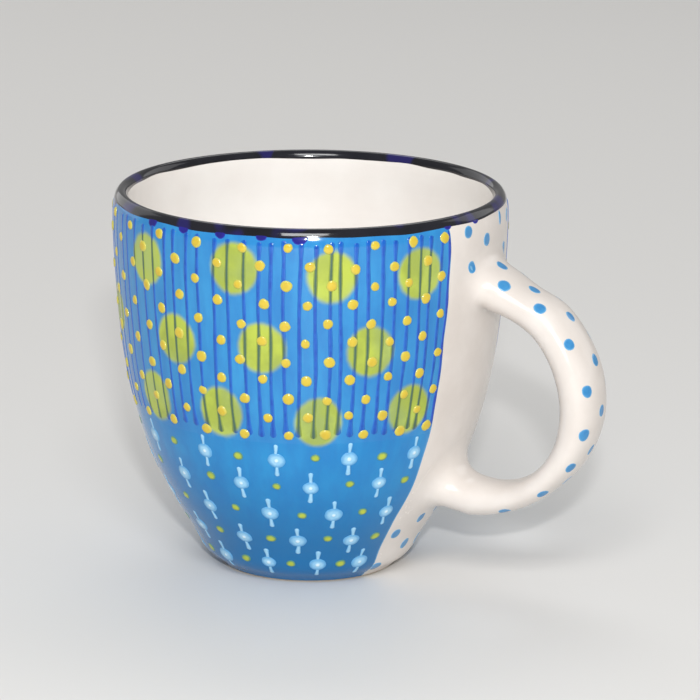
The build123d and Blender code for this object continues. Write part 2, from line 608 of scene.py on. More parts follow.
def brush_group() -> bpy.types.NodeTree:
    """Upright brush strokes in a painted ground.

    Returns:
        The group.
    """
    sheet, given, result = new_group("brushed_ground", {"Stroke": 1.0}, ("Strokes",))
    place = sheet.object_place()
    strokes = sheet.noise(sheet.stretched(place, (1.0, 1.0, 0.16)), 330.0, 3.0, 0.6)
    shown = sheet.math("MULTIPLY", sheet.ramp(strokes, 0.3, 0.7), given.outputs["Stroke"])
    sheet.join(shown, result.inputs["Strokes"])
    return sheet.tree


GLAZE_IOR = 1.52         # how strongly a glaze bends light
GLAZE_GROUP = glaze_group()
THIN_GROUP = thin_group()
BRUSH_GROUP = brush_group()


# ---------------------------------------------------------------- finishes
@dataclass(frozen=True)
class Finish:
    """Base of all finishes: a glossy glaze with two tones and specks."""

    name: str
    light: Colour
    dark: Colour
    speck: Colour = srgb(70, 58, 48)
    speck_share: float = 0.0
    ripple: float = 1.0
    bump: float = 0.06
    cloud_size: float = 90.0
    softness: float = 0.0

    def make(self) -> bpy.types.Material:
        """Build the material.

        Returns:
            The material.
        """
        material = bpy.data.materials.new(self.name)
        material.use_nodes = True
        sheet = NodeSheet(material.node_tree)
        shader = material.node_tree.nodes["Principled BSDF"]
        even = sheet.add("ShaderNodeGroup", {"node_tree": GLAZE_GROUP})
        even.inputs["Cloud Size"].default_value = self.cloud_size
        even.inputs["Speck Share"].default_value = self.speck_share
        even.inputs["Ripple"].default_value = self.ripple
        colour = self.paint(sheet, even)
        specked = sheet.mix(even.outputs["Specks"], colour, rgba(self.speck))
        sheet.join(specked, shader.inputs["Base Color"])
        sheet.join(self.roughness(sheet, even), shader.inputs["Roughness"])
        relief = self.height(sheet, even)
        bump = sheet.add("ShaderNodeBump", None, Strength=1.0, Distance=self.bump * MM, Height=relief)
        sheet.join(bump.outputs[0], shader.inputs["Normal"])
        shader.inputs["IOR"].default_value = GLAZE_IOR
        return material

    def paint(self, sheet: NodeSheet, even: bpy.types.Node) -> Socket:
        """Colour over the surface: cloudy change between the two tones."""
        return sheet.mix(even.outputs["Cloud"], rgba(self.dark), rgba(self.light))

    def roughness(self, sheet: NodeSheet, even: bpy.types.Node) -> Socket:
        """Gloss over the surface."""
        return sheet.math("ADD", even.outputs["Roughness"], self.softness)

    def height(self, sheet: NodeSheet, even: bpy.types.Node) -> Socket:
        """Relief over the surface."""
        return even.outputs["Height"]


@dataclass(frozen=True)
class ThrownFinish(Finish):
    """White glaze over the faint rings that a potter's fingers leave inside a cup."""

    rings: float = 1.6

    def height(self, sheet: NodeSheet, even: bpy.types.Node) -> Socket:
        """Ripples of the glaze and level rings under them.

        Args:
            sheet: the material's sheet.
            even: the unevenness that all glazes share.

        Returns:
            The height.
        """
        level = sheet.stretched(sheet.object_place(), (0.06, 0.06, 1.0))
        rings = sheet.noise(level, 260.0, 2.0)
        return sheet.math("ADD", even.outputs["Height"], sheet.math("MULTIPLY", rings, self.rings))


@dataclass(frozen=True)
class GroundFinish(Finish):
    """Brushed blue ground, with soft sponged spots where the mesh says so, and painted shade darkening it
    towards the foot where set.
    """

    deep: Colour = srgb(26, 84, 160)
    spot: Colour = srgb(178, 192, 56)
    spot_dark: Colour = srgb(156, 170, 50)
    # Painted shade: a darker blue that the ground turns to towards the foot, fully so at the lower of the two
    # heights below.
    foot_shade: Colour | None = None
    foot_shade_from: float = 40 * MM
    foot_shade_full: float = 6 * MM
    fringe: Colour = srgb(112, 184, 226)

    def paint(self, sheet: NodeSheet, even: bpy.types.Node) -> Socket:
        """Blue strokes over a cloudy blue, painted shade towards the foot where set, a pale fringe at the
        panel's edge, then the spots.

        Args:
            sheet: the material's sheet.
            even: the unevenness that all glazes share.

        Returns:
            The colour.
        """
        brush = sheet.add("ShaderNodeGroup", {"node_tree": BRUSH_GROUP})
        base = super().paint(sheet, even)
        load = sheet.math("MULTIPLY", brush.outputs["Strokes"], 0.35)
        base = sheet.mix(load, base, rgba(self.deep))
        # Painted shade: the ground is mixed towards a darker blue lower down, by height alone.
        if self.foot_shade is not None:
            height = sheet.add("ShaderNodeSeparateXYZ", None, i0=sheet.object_place()).outputs[2]
            foot_shade_share = sheet.ramp(height, self.foot_shade_from, self.foot_shade_full)
            base = sheet.mix(foot_shade_share, base, rgba(self.foot_shade))
        fringe = sheet.stored("fringe")
        base = sheet.mix(sheet.math("MULTIPLY", fringe, 0.8), base, rgba(self.fringe))
        return self._sponge(sheet, even, base)

    def _sponge(self, sheet: NodeSheet, even: bpy.types.Node, base: Socket) -> Socket:
        """Green spots dabbed over the ground, ragged at their edges and thin in places.

        Args:
            sheet: the material's sheet.
            even: the unevenness that all glazes share.
            base: colour of the ground.

        Returns:
            The colour with the spots in it.
        """
        place = sheet.object_place()
        sponge = sheet.noise(place, 700.0, 4.0, 0.7)
        ragged = sheet.math("ADD", sheet.stored("spot"), sheet.stray(sponge, 0.18))
        dab = sheet.noise(place, 150.0, 2.0)
        ragged = sheet.math("ADD", ragged, sheet.stray(dab, 0.55))
        cover = sheet.ramp(sheet.noise(place, 75.0, 2.0), 0.34, 0.58, 0.84, 0.96)
        mask = sheet.math("MULTIPLY", sheet.ramp(ragged, 0.14, 0.82), cover)
        tint = sheet.mix(sheet.ramp(even.outputs["Cloud"], 0.2, 0.8), rgba(self.spot_dark), rgba(self.spot))
        return sheet.mix(mask, base, tint)


@dataclass(frozen=True)
class MarkFinish(Finish):
    """Paint of a brushed or trailed mark, which lets the ground through at its thin edge."""

    edge: Colour = srgb(60, 120, 190)
    ragged: float = 0.25
    soft: float = 0.35
    pooling: float = 0.5
    over_green: Colour | None = None
    green_edge: Colour = srgb(142, 160, 62)

    def paint(self, sheet: NodeSheet, even: bpy.types.Node) -> Socket:
        """Thick colour with small pools, thinning to the edge colour.

        Args:
            sheet: the material's sheet.
            even: the unevenness that all glazes share; not used here.

        Returns:
            The colour.
        """
        thin = sheet.add("ShaderNodeGroup", {"node_tree": THIN_GROUP})
        thin.inputs["Ragged"].default_value = self.ragged
        thin.inputs["Soft"].default_value = self.soft
        pool = sheet.math("MULTIPLY", thin.outputs["Pool"], self.pooling)
        thick = sheet.mix(pool, rgba(self.light), rgba(self.dark))
        paint = sheet.mix(thin.outputs["Thin"], thick, rgba(self.edge))
        if self.over_green is None:
            return paint
        spots = sheet.stored("spot")
        soaked = sheet.mix(thin.outputs["Thin"], rgba(self.over_green), rgba(self.green_edge))
        return sheet.mix(sheet.ramp(spots, 0.2, 0.8), paint, soaked)


@dataclass(frozen=True)
class RimFinish(Finish):
    """Near-black band with patches where navy was dabbed into it."""

    navy: Colour = srgb(30, 26, 110)

    def paint(self, sheet: NodeSheet, even: bpy.types.Node) -> Socket:
        """Black ground with navy patches.

        Args:
            sheet: the material's sheet.
            even: the unevenness that all glazes share.

        Returns:
            The colour.
        """
        upright = sheet.stretched(sheet.object_place(), (1.0, 1.0, 0.2))
        patches = sheet.ramp(sheet.noise(upright, 95.0, 1.0), 0.56, 0.63)
        return sheet.mix(patches, super().paint(sheet, even), rgba(self.navy))


@dataclass(frozen=True)
class BareClayFinish(Finish):
    """Unglazed stoneware: gritty and matt."""

    def roughness(self, sheet: NodeSheet, even: bpy.types.Node) -> Socket:
        """Matt all over, with some grain."""
        return sheet.ramp(even.outputs["Cloud"], 0.0, 1.0, 0.72, 0.92)


WHITE_GLAZE = Finish(
    "white_glaze", srgb(222, 215, 209), srgb(212, 204, 197), speck_share=0.0004, softness=0.13)
LINING_GLAZE = ThrownFinish(
    "lining_glaze", srgb(236, 233, 229), srgb(229, 224, 219), speck_share=0.0004, cloud_size=60.0)
UPPER_GROUND = GroundFinish(
    "upper_blue_ground", srgb(48, 142, 200), srgb(36, 124, 188), deep=srgb(28, 98, 176), ripple=1.2)
# The lower ground carries painted shade, darkening towards the foot.
LOWER_GROUND = GroundFinish(
    "lower_blue_ground", srgb(34, 138, 198), srgb(22, 124, 188), deep=srgb(22, 100, 174),
    foot_shade=srgb(4, 104, 162), ripple=1.2)
RIM = RimFinish(
    "dark_rim_glaze", srgb(24, 25, 34), srgb(10, 11, 18), navy=srgb(26, 22, 84), ripple=0.8)
STRIPE_PAINT = MarkFinish(
    "stripe_paint", srgb(16, 88, 180), srgb(12, 64, 162), edge=srgb(30, 108, 190),
    soft=0.85, pooling=0.7, over_green=srgb(66, 96, 78))
EDGE_PAINT = MarkFinish(
    "edge_line_paint", srgb(26, 72, 174), srgb(20, 52, 154), edge=srgb(34, 98, 186), soft=0.5)
YELLOW_SLIP = MarkFinish(
    "yellow_slip", srgb(206, 180, 56), srgb(194, 164, 44), edge=srgb(196, 188, 84), ragged=0.2, soft=0.5)
PALE_PAINT = MarkFinish(
    "pale_blue_paint", srgb(156, 204, 232), srgb(132, 190, 226), edge=srgb(88, 160, 210),
    ragged=0.3, soft=0.6)
WHITE_PAINT = MarkFinish(
    "white_paint", srgb(218, 236, 244), srgb(198, 224, 240), edge=srgb(160, 206, 234), soft=0.7)
GREEN_PAINT = MarkFinish(
    "green_paint", srgb(178, 190, 62), srgb(150, 168, 50), edge=srgb(72, 132, 110), soft=0.6)
BLUE_PAINT = MarkFinish(
    "mid_blue_paint", srgb(62, 138, 192), srgb(46, 118, 178), edge=srgb(112, 170, 208), soft=0.3)
NAVY_PAINT = MarkFinish(
    "navy_paint", srgb(34, 30, 130), srgb(20, 18, 90), edge=srgb(40, 48, 160), soft=0.25)
BARE_CLAY = BareClayFinish(
    "bare_clay", srgb(206, 192, 170), srgb(184, 166, 142), speck_share=0.05, bump=0.12, cloud_size=300.0)


# ---------------------------------------------------------------- stamps: one mark each
STAMP_SINK = 0.06 * MM   # how far the rim of a mark is let into the glaze
THINNEST = 0.02 * MM     # least half width of a brushed line
SHARP_DEG = 80.0         # edges of a mark that turn more than this stay sharp


def round_cap(share: float) -> float:
    """Width of a rounded end: 0 at the very end, 1 where the end starts."""
    return math.sqrt(max(0.0, 1 - (1 - share) ** 2))


@dataclass(frozen=True)
class DotStamp:
    """Low round dab with a rounded edge."""

    name: str
    radius: float
    rise: float
    stretch: float = 1.0
    segments: int = 16
    profile: tuple[Pair, ...] = ((1.0, 0.0), (0.93, 0.5), (0.72, 0.88), (0.36, 1.0))
    crown: float = 1.02

    def build(self) -> Piece:
        """Make the stamp flat at the origin, facing +Z.

        Returns:
            The helper object.
        """
        work = bmesh.new()
        thin, rise = mark_layers(work)
        rings = [(1.0, -STAMP_SINK)] + [(share, part * self.rise) for share, part in self.profile]
        loops = []
        for share, lift in rings:
            loop = []
            for k in range(self.segments):
                turn = FULL_TURN * k / self.segments
                across = math.cos(turn) * self.radius
                along = math.sin(turn) * self.radius * self.stretch
                spot = Vector((across, along, 0)) * share
                loop.append(mark_vertex(work, spot, (thin, rise), share, lift))
            loops.append(loop)
        for low, high in zip(loops, loops[1:]):
            join_lines(work, low, high, True)
        middle = mark_vertex(work, Vector(), (thin, rise), 0.0, self.rise * self.crown)
        for k in range(self.segments):
            work.faces.new((loops[-1][k], loops[-1][(k + 1) % self.segments], middle))
        work.faces.new(tuple(reversed(loops[0])))
        return stamp_object(self.name, work)


@dataclass(frozen=True)
class StrokeStamp:
    """Brushed line up the wall, with its own width rule along the length."""

    name: str
    length: float
    rise: float
    half_width: Callable[[float], float]
    rows: int
    profile: tuple[Pair, ...] = ((-1.0, 0.0), (-0.6, 0.8), (0.0, 1.0), (0.6, 0.8), (1.0, 0.0))
    end_fade: float = 0.5 * MM

    def build(self) -> Piece:
        """Make the stamp flat at the origin, its length along Y.

        Returns:
            The helper object.
        """
        work = bmesh.new()
        thin, rise = mark_layers(work)
        over = [(side, part * self.rise) for side, part in self.profile]
        across = [(-1.0, -STAMP_SINK), *over, (1.0, -STAMP_SINK)]
        lines = []
        for j in range(self.rows + 1):
            share = 0.5 - 0.5 * math.cos(math.pi * j / self.rows)
            y = (share - 0.5) * self.length
            half = self.half_width(share)
            end = min(1.0, min(share, 1 - share) * self.length / self.end_fade + 0.1)
            line = []
            for side, lift in across:
                lift = lift if lift <= 0 else lift * end
                spot = Vector((side * half, y, 0))
                line.append(mark_vertex(work, spot, (thin, rise), abs(side), lift))
            lines.append(line)
        for low, high in zip(lines, lines[1:]):
            join_lines(work, low, high, True)
        work.faces.new(tuple(reversed(lines[0])))
        work.faces.new(tuple(lines[-1]))
        return stamp_object(self.name, work)


def mark_layers(work: bmesh.types.BMesh) -> tuple[object, object]:
    """Layers for how thin the paint is and how high it stands."""
    return work.verts.layers.float.new("thin"), work.verts.layers.float.new("rise")


def mark_vertex(
    work: bmesh.types.BMesh, spot: Vector, layers: tuple[object, object], share: float, lift: float,
) -> bmesh.types.BMVert:
    """Vertex of a stamp, with its layers filled in.

    Args:
        work: the stamp's bmesh.
        spot: place on the flat.
        layers: the layers for thinness and rise.
        share: how thin the paint is here, from 0 to 1.
        lift: how high it stands.

    Returns:
        The vertex.
    """
    thin, rise = layers
    vertex = work.verts.new((spot.x, spot.y, lift))
    vertex[thin] = share
    vertex[rise] = lift
    return vertex


def stamp_object(name: str, work: bmesh.types.BMesh) -> Piece:
    """Helper object that holds a stamp; it is removed once the marks are made."""
    return new_piece(f"stamp_{name}", mesh_from_bmesh(f"stamp_{name}", work, SHARP_DEG))


# ---------------------------------------------------------------- marks pressed on a surface
@dataclass
class Place:
    """Where one mark goes: its spot, its facing and its size."""

    spot: Vector
    facing: Matrix
    size: float = 1.0


@dataclass
class PressedMarks:
    """Copies of a stamp pressed on a curved surface by geometry nodes."""

    name: str
    stamp: Piece
    target: Piece
    places: list[Place]
    finish: bpy.types.Material
    slot: str
    size_spread: float = 0.0
    turn_spread: float = 0.0
    waver: float = 0.0
    waver_size: float = 10 * MM
    lift: float = 0.0
    seed: int = 1

    def build(self) -> Piece:
        """Press the marks and return them as one plain mesh.

        Returns:
            The finished piece.
        """
        guide = new_piece(f"{self.name}_guide", self._guide_mesh())
        tree = self._tree()
        modifier = guide.modifiers.new("press", "NODES")
        modifier.node_group = tree
        values = {
            "Stamp": self.stamp, "Target": self.target, "Size Spread": self.size_spread,
            "Turn Spread": self.turn_spread, "Waver": self.waver, "Waver Scale": 1 / self.waver_size,
            "Lift": self.lift, "Seed": self.seed, "Paint": self.finish,
        }
        for item in tree.interface.items_tree:
            if item.item_type == "SOCKET" and item.in_out == "INPUT" and item.name in values:
                modifier[item.identifier] = values[item.name]
        graph = bpy.context.evaluated_depsgraph_get()
        mesh = bpy.data.meshes.new_from_object(guide.evaluated_get(graph))
        mesh.name = self.name
        bpy.data.objects.remove(guide)
        piece = new_piece(self.name, mesh)
        if not mesh.materials:
            mesh.materials.append(self.finish)
        return piece

    def _guide_mesh(self) -> bpy.types.Mesh:
        """One vertex for each mark, with its facing and size stored on it.

        Returns:
            The mesh.
        """
        mesh = bpy.data.meshes.new(f"{self.name}_guide")
        mesh.from_pydata([p.spot for p in self.places], [], [])
        write_attribute(mesh, "size", [p.size for p in self.places])
        turns = np.array([p.facing.to_euler()[:] for p in self.places], dtype=np.float32)
        facing = mesh.attributes.new("facing", "FLOAT_VECTOR", "POINT")
        facing.data.foreach_set("vector", turns.ravel())
        return mesh

    def _tree(self) -> bpy.types.NodeTree:
        """Node tree that copies, jitters and presses the stamp.

        Returns:
            The tree.
        """
        tree = bpy.data.node_groups.new(f"press_{self.name}", "GeometryNodeTree")
        kinds = {
            "Guide": SocketKind.GEOMETRY, "Stamp": SocketKind.OBJECT, "Target": SocketKind.OBJECT,
            "Size Spread": SocketKind.NUMBER, "Turn Spread": SocketKind.NUMBER, "Waver": SocketKind.NUMBER,
            "Waver Scale": SocketKind.NUMBER, "Lift": SocketKind.NUMBER, "Seed": SocketKind.WHOLE,
            "Paint": SocketKind.PAINT,
        }
        for key, kind in kinds.items():
            tree.interface.new_socket(key, in_out="INPUT", socket_type=kind.value)
        tree.interface.new_socket("Marks", in_out="OUTPUT", socket_type=SocketKind.GEOMETRY.value)
        sheet = NodeSheet(tree)
        given = sheet.add("NodeGroupInput").outputs
        stamp = sheet.add("GeometryNodeObjectInfo", None, Object=given["Stamp"]).outputs["Geometry"]
        target = sheet.add("GeometryNodeObjectInfo", None, Object=given["Target"]).outputs["Geometry"]
        copies = self._copies(sheet, given, stamp)
        moved = self._waver(sheet, given, copies)
        pressed = self._press(sheet, given, moved, target)
        shaded = sheet.add("GeometryNodeSetShadeSmooth", None, Geometry=pressed).outputs[0]
        painted = sheet.add("GeometryNodeSetMaterial", None, Geometry=shaded, Material=given["Paint"])
        sheet.add("NodeGroupOutput", None, i0=painted.outputs[0])
        return tree

    @staticmethod
    def _copies(sheet: NodeSheet, given: object, stamp: Socket) -> Socket:
        """Stamps on the guide points, each with its own size and turn, made real.

        Args:
            sheet: the tree's sheet.
            given: the tree's inputs.
            stamp: geometry of the stamp.

        Returns:
            The geometry of the copies.
        """
        number = {"data_type": "FLOAT"}
        vector = {"data_type": "FLOAT_VECTOR"}
        euler = sheet.add("GeometryNodeInputNamedAttribute", vector, Name="facing").outputs[0]
        facing = sheet.add("FunctionNodeEulerToRotation", None, Euler=euler).outputs[0]
        down = sheet.math("MULTIPLY", given["Turn Spread"], -1.0)
        up = given["Turn Spread"]
        turn = sheet.add("FunctionNodeRandomValue", number, i2=down, i3=up, i8=given["Seed"]).outputs[1]
        spin = sheet.add("FunctionNodeAxisAngleToRotation", None, Angle=turn).outputs[0]
        local = {"rotation_space": "LOCAL"}
        rotation = sheet.add("FunctionNodeRotateRotation", local, i0=facing, i1=spin).outputs[0]
        size = sheet.add("GeometryNodeInputNamedAttribute", number, Name="size").outputs[0]
        low = sheet.math("SUBTRACT", 1.0, given["Size Spread"])
        high = sheet.math("ADD", 1.0, given["Size Spread"])
        other = sheet.math("ADD", given["Seed"], 17.0)
        spread = sheet.add("FunctionNodeRandomValue", number, i2=low, i3=high, i8=other).outputs[1]
        scale = sheet.math("MULTIPLY", size, spread)
        flat = sheet.add("ShaderNodeCombineXYZ", None, X=scale, Y=scale, Z=1.0).outputs[0]
        copies = sheet.add(
            "GeometryNodeInstanceOnPoints", None,
            Points=given["Guide"], Instance=stamp, Rotation=rotation, Scale=flat).outputs[0]
        return sheet.add("GeometryNodeRealizeInstances", None, i0=copies).outputs[0]

    @staticmethod
    def _waver(sheet: NodeSheet, given: object, copies: Socket) -> Socket:
        """Small sideways drift, as of an unsteady hand.

        Args:
            sheet: the tree's sheet.
            given: the tree's inputs.
            copies: geometry of the copies.

        Returns:
            The geometry, moved.
        """
        place = sheet.add("GeometryNodeInputPosition").outputs[0]
        drift = sheet.add("ShaderNodeTexNoise", None, Vector=place, Scale=given["Waver Scale"], Detail=1.0)
        centred = sheet.add(
            "ShaderNodeVectorMath", {"operation": "SUBTRACT"}, i0=drift.outputs["Color"], i1=(0.5, 0.5, 0.5))
        offset = sheet.add(
            "ShaderNodeVectorMath", {"operation": "SCALE"}, i0=centred.outputs[0], Scale=given["Waver"])
        moved = sheet.add("GeometryNodeSetPosition", None, Geometry=copies, Offset=offset.outputs[0])
        return moved.outputs[0]

    @staticmethod
    def _press(sheet: NodeSheet, given: object, marks: Socket, target: Socket) -> Socket:
        """Every vertex goes to the nearest spot of the surface, then out by its own rise.

        Args:
            sheet: the tree's sheet.
            given: the tree's inputs.
            marks: geometry of the marks.
            target: geometry of the surface.

        Returns:
            The geometry of the marks on the surface.
        """
        number = {"data_type": "FLOAT"}
        vector = {"data_type": "FLOAT_VECTOR"}
        place = sheet.add("GeometryNodeInputPosition").outputs[0]
        near = sheet.add("GeometryNodeProximity", {"target_element": "FACES"}, i0=target, i2=place).outputs[0]
        normal = sheet.add("GeometryNodeInputNormal").outputs[0]
        out = sheet.add("GeometryNodeSampleNearestSurface", vector, i0=target, i1=normal, i3=near).outputs[0]
        rise = sheet.add("GeometryNodeInputNamedAttribute", number, Name="rise").outputs[0]
        lift = sheet.math("ADD", rise, given["Lift"])
        step = sheet.add("ShaderNodeVectorMath", {"operation": "SCALE"}, i0=out, Scale=lift).outputs[0]
        spot = sheet.add("ShaderNodeVectorMath", {"operation": "ADD"}, i0=near, i1=step).outputs[0]
        return sheet.add("GeometryNodeSetPosition", None, Geometry=marks, Position=spot).outputs[0]


# ---------------------------------------------------------------- layout of the painting
Spots = list[tuple[float, float]]

HAND_GATHER = 0.17       # how much closer together marks stand beside the handle
FAR_EXTRA = 1.3 * MM     # how much further round the panel's far edge stands
HUG_LEVEL = 88 * MM      # height at which marks stand where their pitch puts them
HUG_REACH = 0.35         # angle over which marks stop following the panel's edge


def hand_spread(angle: float) -> float:
    """Even steps turned into the painter's, which are closer together beside the handle."""
    return angle - HAND_GATHER * math.sin(angle)


def panel_edge(height: float) -> float:
    """Angle from +X at which the blue panel starts at a height."""
    radius = OUTSIDE.at(OUTSIDE.at_height(height))[0]
    uneven = 0.35 * MM * math.sin(height * 100 + 2.25) + 0.12 * MM * math.sin(height * 410)
    return math.asin((CUP.white_half(height) + uneven) / radius)


def inside_panel(angle: float, height: float, margin: float) -> bool:
    """True if a spot lies in the blue panel, with room to spare."""
    radius = OUTSIDE.at(OUTSIDE.at_height(height))[0]
    edge = panel_edge(height) + margin / radius
    return edge + FAR_EXTRA / radius < angle % FULL_TURN < FULL_TURN - edge


def hug_edge(angle: float, height: float) -> float:
    """Angle of a mark of the striped half moved with the panel's edge, less so further from it.

    Args:
        angle: where the pitch puts the mark.
        height: height of its row.

    Returns:
        The angle to paint it at.
    """
    turned = (angle + math.pi) % FULL_TURN - math.pi
    shift = panel_edge(height) - panel_edge(HUG_LEVEL)
    beyond = max(0.0, abs(turned) - panel_edge(height))
    return angle + math.copysign(shift * math.exp(-beyond / HUG_REACH), turned)


@dataclass
class MarkRows:
    """Rows of marks round the cup, at an even pitch that the hand then spoils."""

    heights: Sequence[float]
    starts_deg: Sequence[float]
    pitch_deg: float
    margin: float
    jitter_angle: float = 0.0
    jitter_height: float = 0.0
    seed: int = 3
    nudges: tuple[tuple[Pair, ...], ...] = ()
    hugging: bool = False

    def spots(self) -> Spots:
        """Angle and height of every mark that falls inside the panel.

        Returns:
            The angle and height of each mark.
        """
        draw = random.Random(self.seed)
        found = []
        for row, (height, start) in enumerate(zip(self.heights, self.starts_deg)):
            by_hand = self.nudges[row] if row < len(self.nudges) else ()
            for k in range(int(360 / self.pitch_deg)):
                shift = by_hand[k] if k < len(by_hand) else (0.0, 0.0)
                angle = hand_spread(math.radians(start - self.pitch_deg * k)) + math.radians(shift[0])
                angle += draw.uniform(-1, 1) * math.radians(self.jitter_angle)
                level = height + draw.uniform(-1, 1) * self.jitter_height + shift[1] * MM
                angle = hug_edge(angle, height) if self.hugging else angle
                if inside_panel(angle, height, self.margin):
                    found.append((angle % FULL_TURN, level))
        return found


def places_on_cup(spots: Spots, sizes: Sequence[float] | None = None) -> list[Place]:
    """Places on the outside of the cup.

    Args:
        spots: angle and height pairs.
        sizes: one size for each, or None for all alike.

    Returns:
        The places.
    """
    places = []
    for k, (angle, height) in enumerate(spots):
        length = OUTSIDE.at_height(height)
        size = 1.0 if sizes is None else sizes[k]
        places.append(Place(on_cup(OUTSIDE, length, angle), facing_on_cup(length, angle), size))
    return places


@dataclass
class SpongedSpots:
    """Large soft spots under the stripes, painted into the ground."""

    rows: MarkRows = field(default_factory=lambda: MarkRows(
        heights=(84.4 * MM, 66.4 * MM, 48.9 * MM), starts_deg=(-33.5, -52.5, -36.5),
        pitch_deg=32.5, margin=3 * MM, jitter_angle=1.4, jitter_height=1.1 * MM, seed=8,
        nudges=(((-3.4, -2.0), (-0.7, -0.9), (3.1, 1.6), (2.9, 0.0)),
                ((-1.7, -2.4), (-2.4, -0.7), (1.4, -1.3)),
                ((-2.0, -0.7), (-1.5, -2.2), (0.0, -0.8), (5.9, -1.0)))))
    half_width: float = 6.4 * MM
    half_height: float = 6.6 * MM
    far_off: float = 10 * MM
    soft_edge: Pair = (0.70, 1.20)

    def mask(self, angle: float, height: float, spots: Spots) -> float:
        """How much of a spot covers a place: 1 inside, falling to 0 over a soft edge.

        Args:
            angle: angle of the place.
            height: its height.
            spots: the spots.

        Returns:
            The cover, from 0 to 1.
        """
        best = 0.0
        for spot_angle, spot_height in spots:
            across = (angle - spot_angle + math.pi) % FULL_TURN - math.pi
            across *= CUP.lip_outer_r
            if abs(across) < self.far_off and abs(height - spot_height) < self.far_off:
                reach = math.hypot(across / self.half_width, (height - spot_height) / self.half_height)
                best = max(best, 1 - smooth_step(*self.soft_edge, reach))
        return best

    def write(self, piece: Piece) -> None:
        """Store on a piece how much of a spot covers each vertex.

        Args:
            piece: the piece.
        """
        spots = self.rows.spots()
        places = [v.co for v in piece.data.vertices]
        cover = [self.mask(math.atan2(p.y, p.x), p.z, spots) for p in places]
        write_attribute(piece.data, "spot", cover)


# ---------------------------------------------------------------- sub-assemblies
@dataclass
class BluePanel:
    """Painted blue ground all round the cup but for the white zone at the handle."""

    thickness: float = 0.22 * MM
    edge_round: float = 0.7 * MM
    edge_sink: float = 0.07 * MM
    upper_cell: float = 0.8 * MM
    lower_cell: float = 1.3 * MM
    width_share: float = 0.89
    fringe_reach: Pair = (0.05 * MM, 0.75 * MM)
    edge_columns: tuple[float, ...] = (0.0, 0.12 * MM, 0.3 * MM, 0.5 * MM, 0.75 * MM, 1.1 * MM)
    spots: SpongedSpots = field(default_factory=SpongedSpots)

    def _across(self, u: float, columns: int, width: float) -> float:
        """Distance round the panel at a column, with the columns close together at both edges.

        Args:
            u: share of the way round.
            columns: number of columns.
            width: width of the panel here.

        Returns:
            The distance.
        """
        column = round(u * columns)
        last = len(self.edge_columns) - 1
        if column <= last:
            return self.edge_columns[column]
        if columns - column <= last:
            return width - self.edge_columns[columns - column]
        inner = width - 2 * self.edge_columns[-1]
        return self.edge_columns[-1] + inner * (column - last) / (columns - 2 * last)

    def _fringe(self, point: Vector) -> float:
        """How close a spot is to the edge of the panel: 1 at the edge, 0 from a little way in.

        Args:
            point: a point of the panel.

        Returns:
            The closeness, from 0 to 1.
        """
        radius = math.hypot(point.x, point.y)
        angle = math.atan2(point.y, point.x) % FULL_TURN
        edge = panel_edge(point.z)
        side = min(angle - edge - FAR_EXTRA / radius, FULL_TURN - edge - angle) * radius
        return 1 - smooth_step(*self.fringe_reach, side)

    def _skin(self, name: str, low: float, high: float, cell: float) -> bpy.types.Mesh:
        """Closed skin between two lengths along the outer section.

        Args:
            name: name of the mesh.
            low: length where it starts.
            high: length where it ends.
            cell: size of a face.

        Returns:
            The mesh.
        """
        columns = int(FULL_TURN * CUP.lip_outer_r * self.width_share / cell)
        rows = int((high - low) / cell)

        def spot(u: float, v: float, lift: float) -> Vector:
            """Point of the skin at a lift off the glazed surface.

            Args:
                u: share of the way round.
                v: share of the way up.
                lift: distance off the face.

            Returns:
                The point.
            """
            length = low + (high - low) * v
            radius, height = OUTSIDE.at(length)
            edge = panel_edge(height)
            start = edge + FAR_EXTRA / radius
            sweep = FULL_TURN - edge - start
            across = self._across(u, columns, sweep * radius)
            angle = start + across / radius
            side = min(across, sweep * radius - across)
            lift -= self.edge_sink * (1 - smooth_step(0, self.edge_round, side))
            return on_cup(OUTSIDE, length, angle, lift)

        grid = SkinGrid(
            name, columns, rows,
            lambda u, v: spot(u, v, 0.0), lambda u, v: spot(u, v, -self.thickness))
        return grid.build()

    def build(self) -> list[Piece]:
        """Make the striped half and the flowered half.

        Returns:
            The two pieces.
        """
        split = OUTSIDE.at_height(CUP.split_z)
        top = OUTSIDE.at_height(CUP.band_z) + UNDER_BAND
        upper = new_piece("upper_blue_ground", self._skin("upper_blue_ground", split, top, self.upper_cell))
        upper.data.materials.append(UPPER_GROUND.make())
        low = OUTSIDE.at_height(CUP.glaze_low_z)
        lower = new_piece("lower_blue_ground", self._skin("lower_blue_ground", low, split, self.lower_cell))
        lower.data.materials.append(LOWER_GROUND.make())
        for piece, node in ((upper, "upper_blue_glaze"), (lower, "lower_blue_glaze")):
            write_attribute(piece.data, "fringe", [self._fringe(v.co) for v in piece.data.vertices])
            self.spots.write(piece)
            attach(piece, BODY)
            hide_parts(node)
        return [upper, lower]


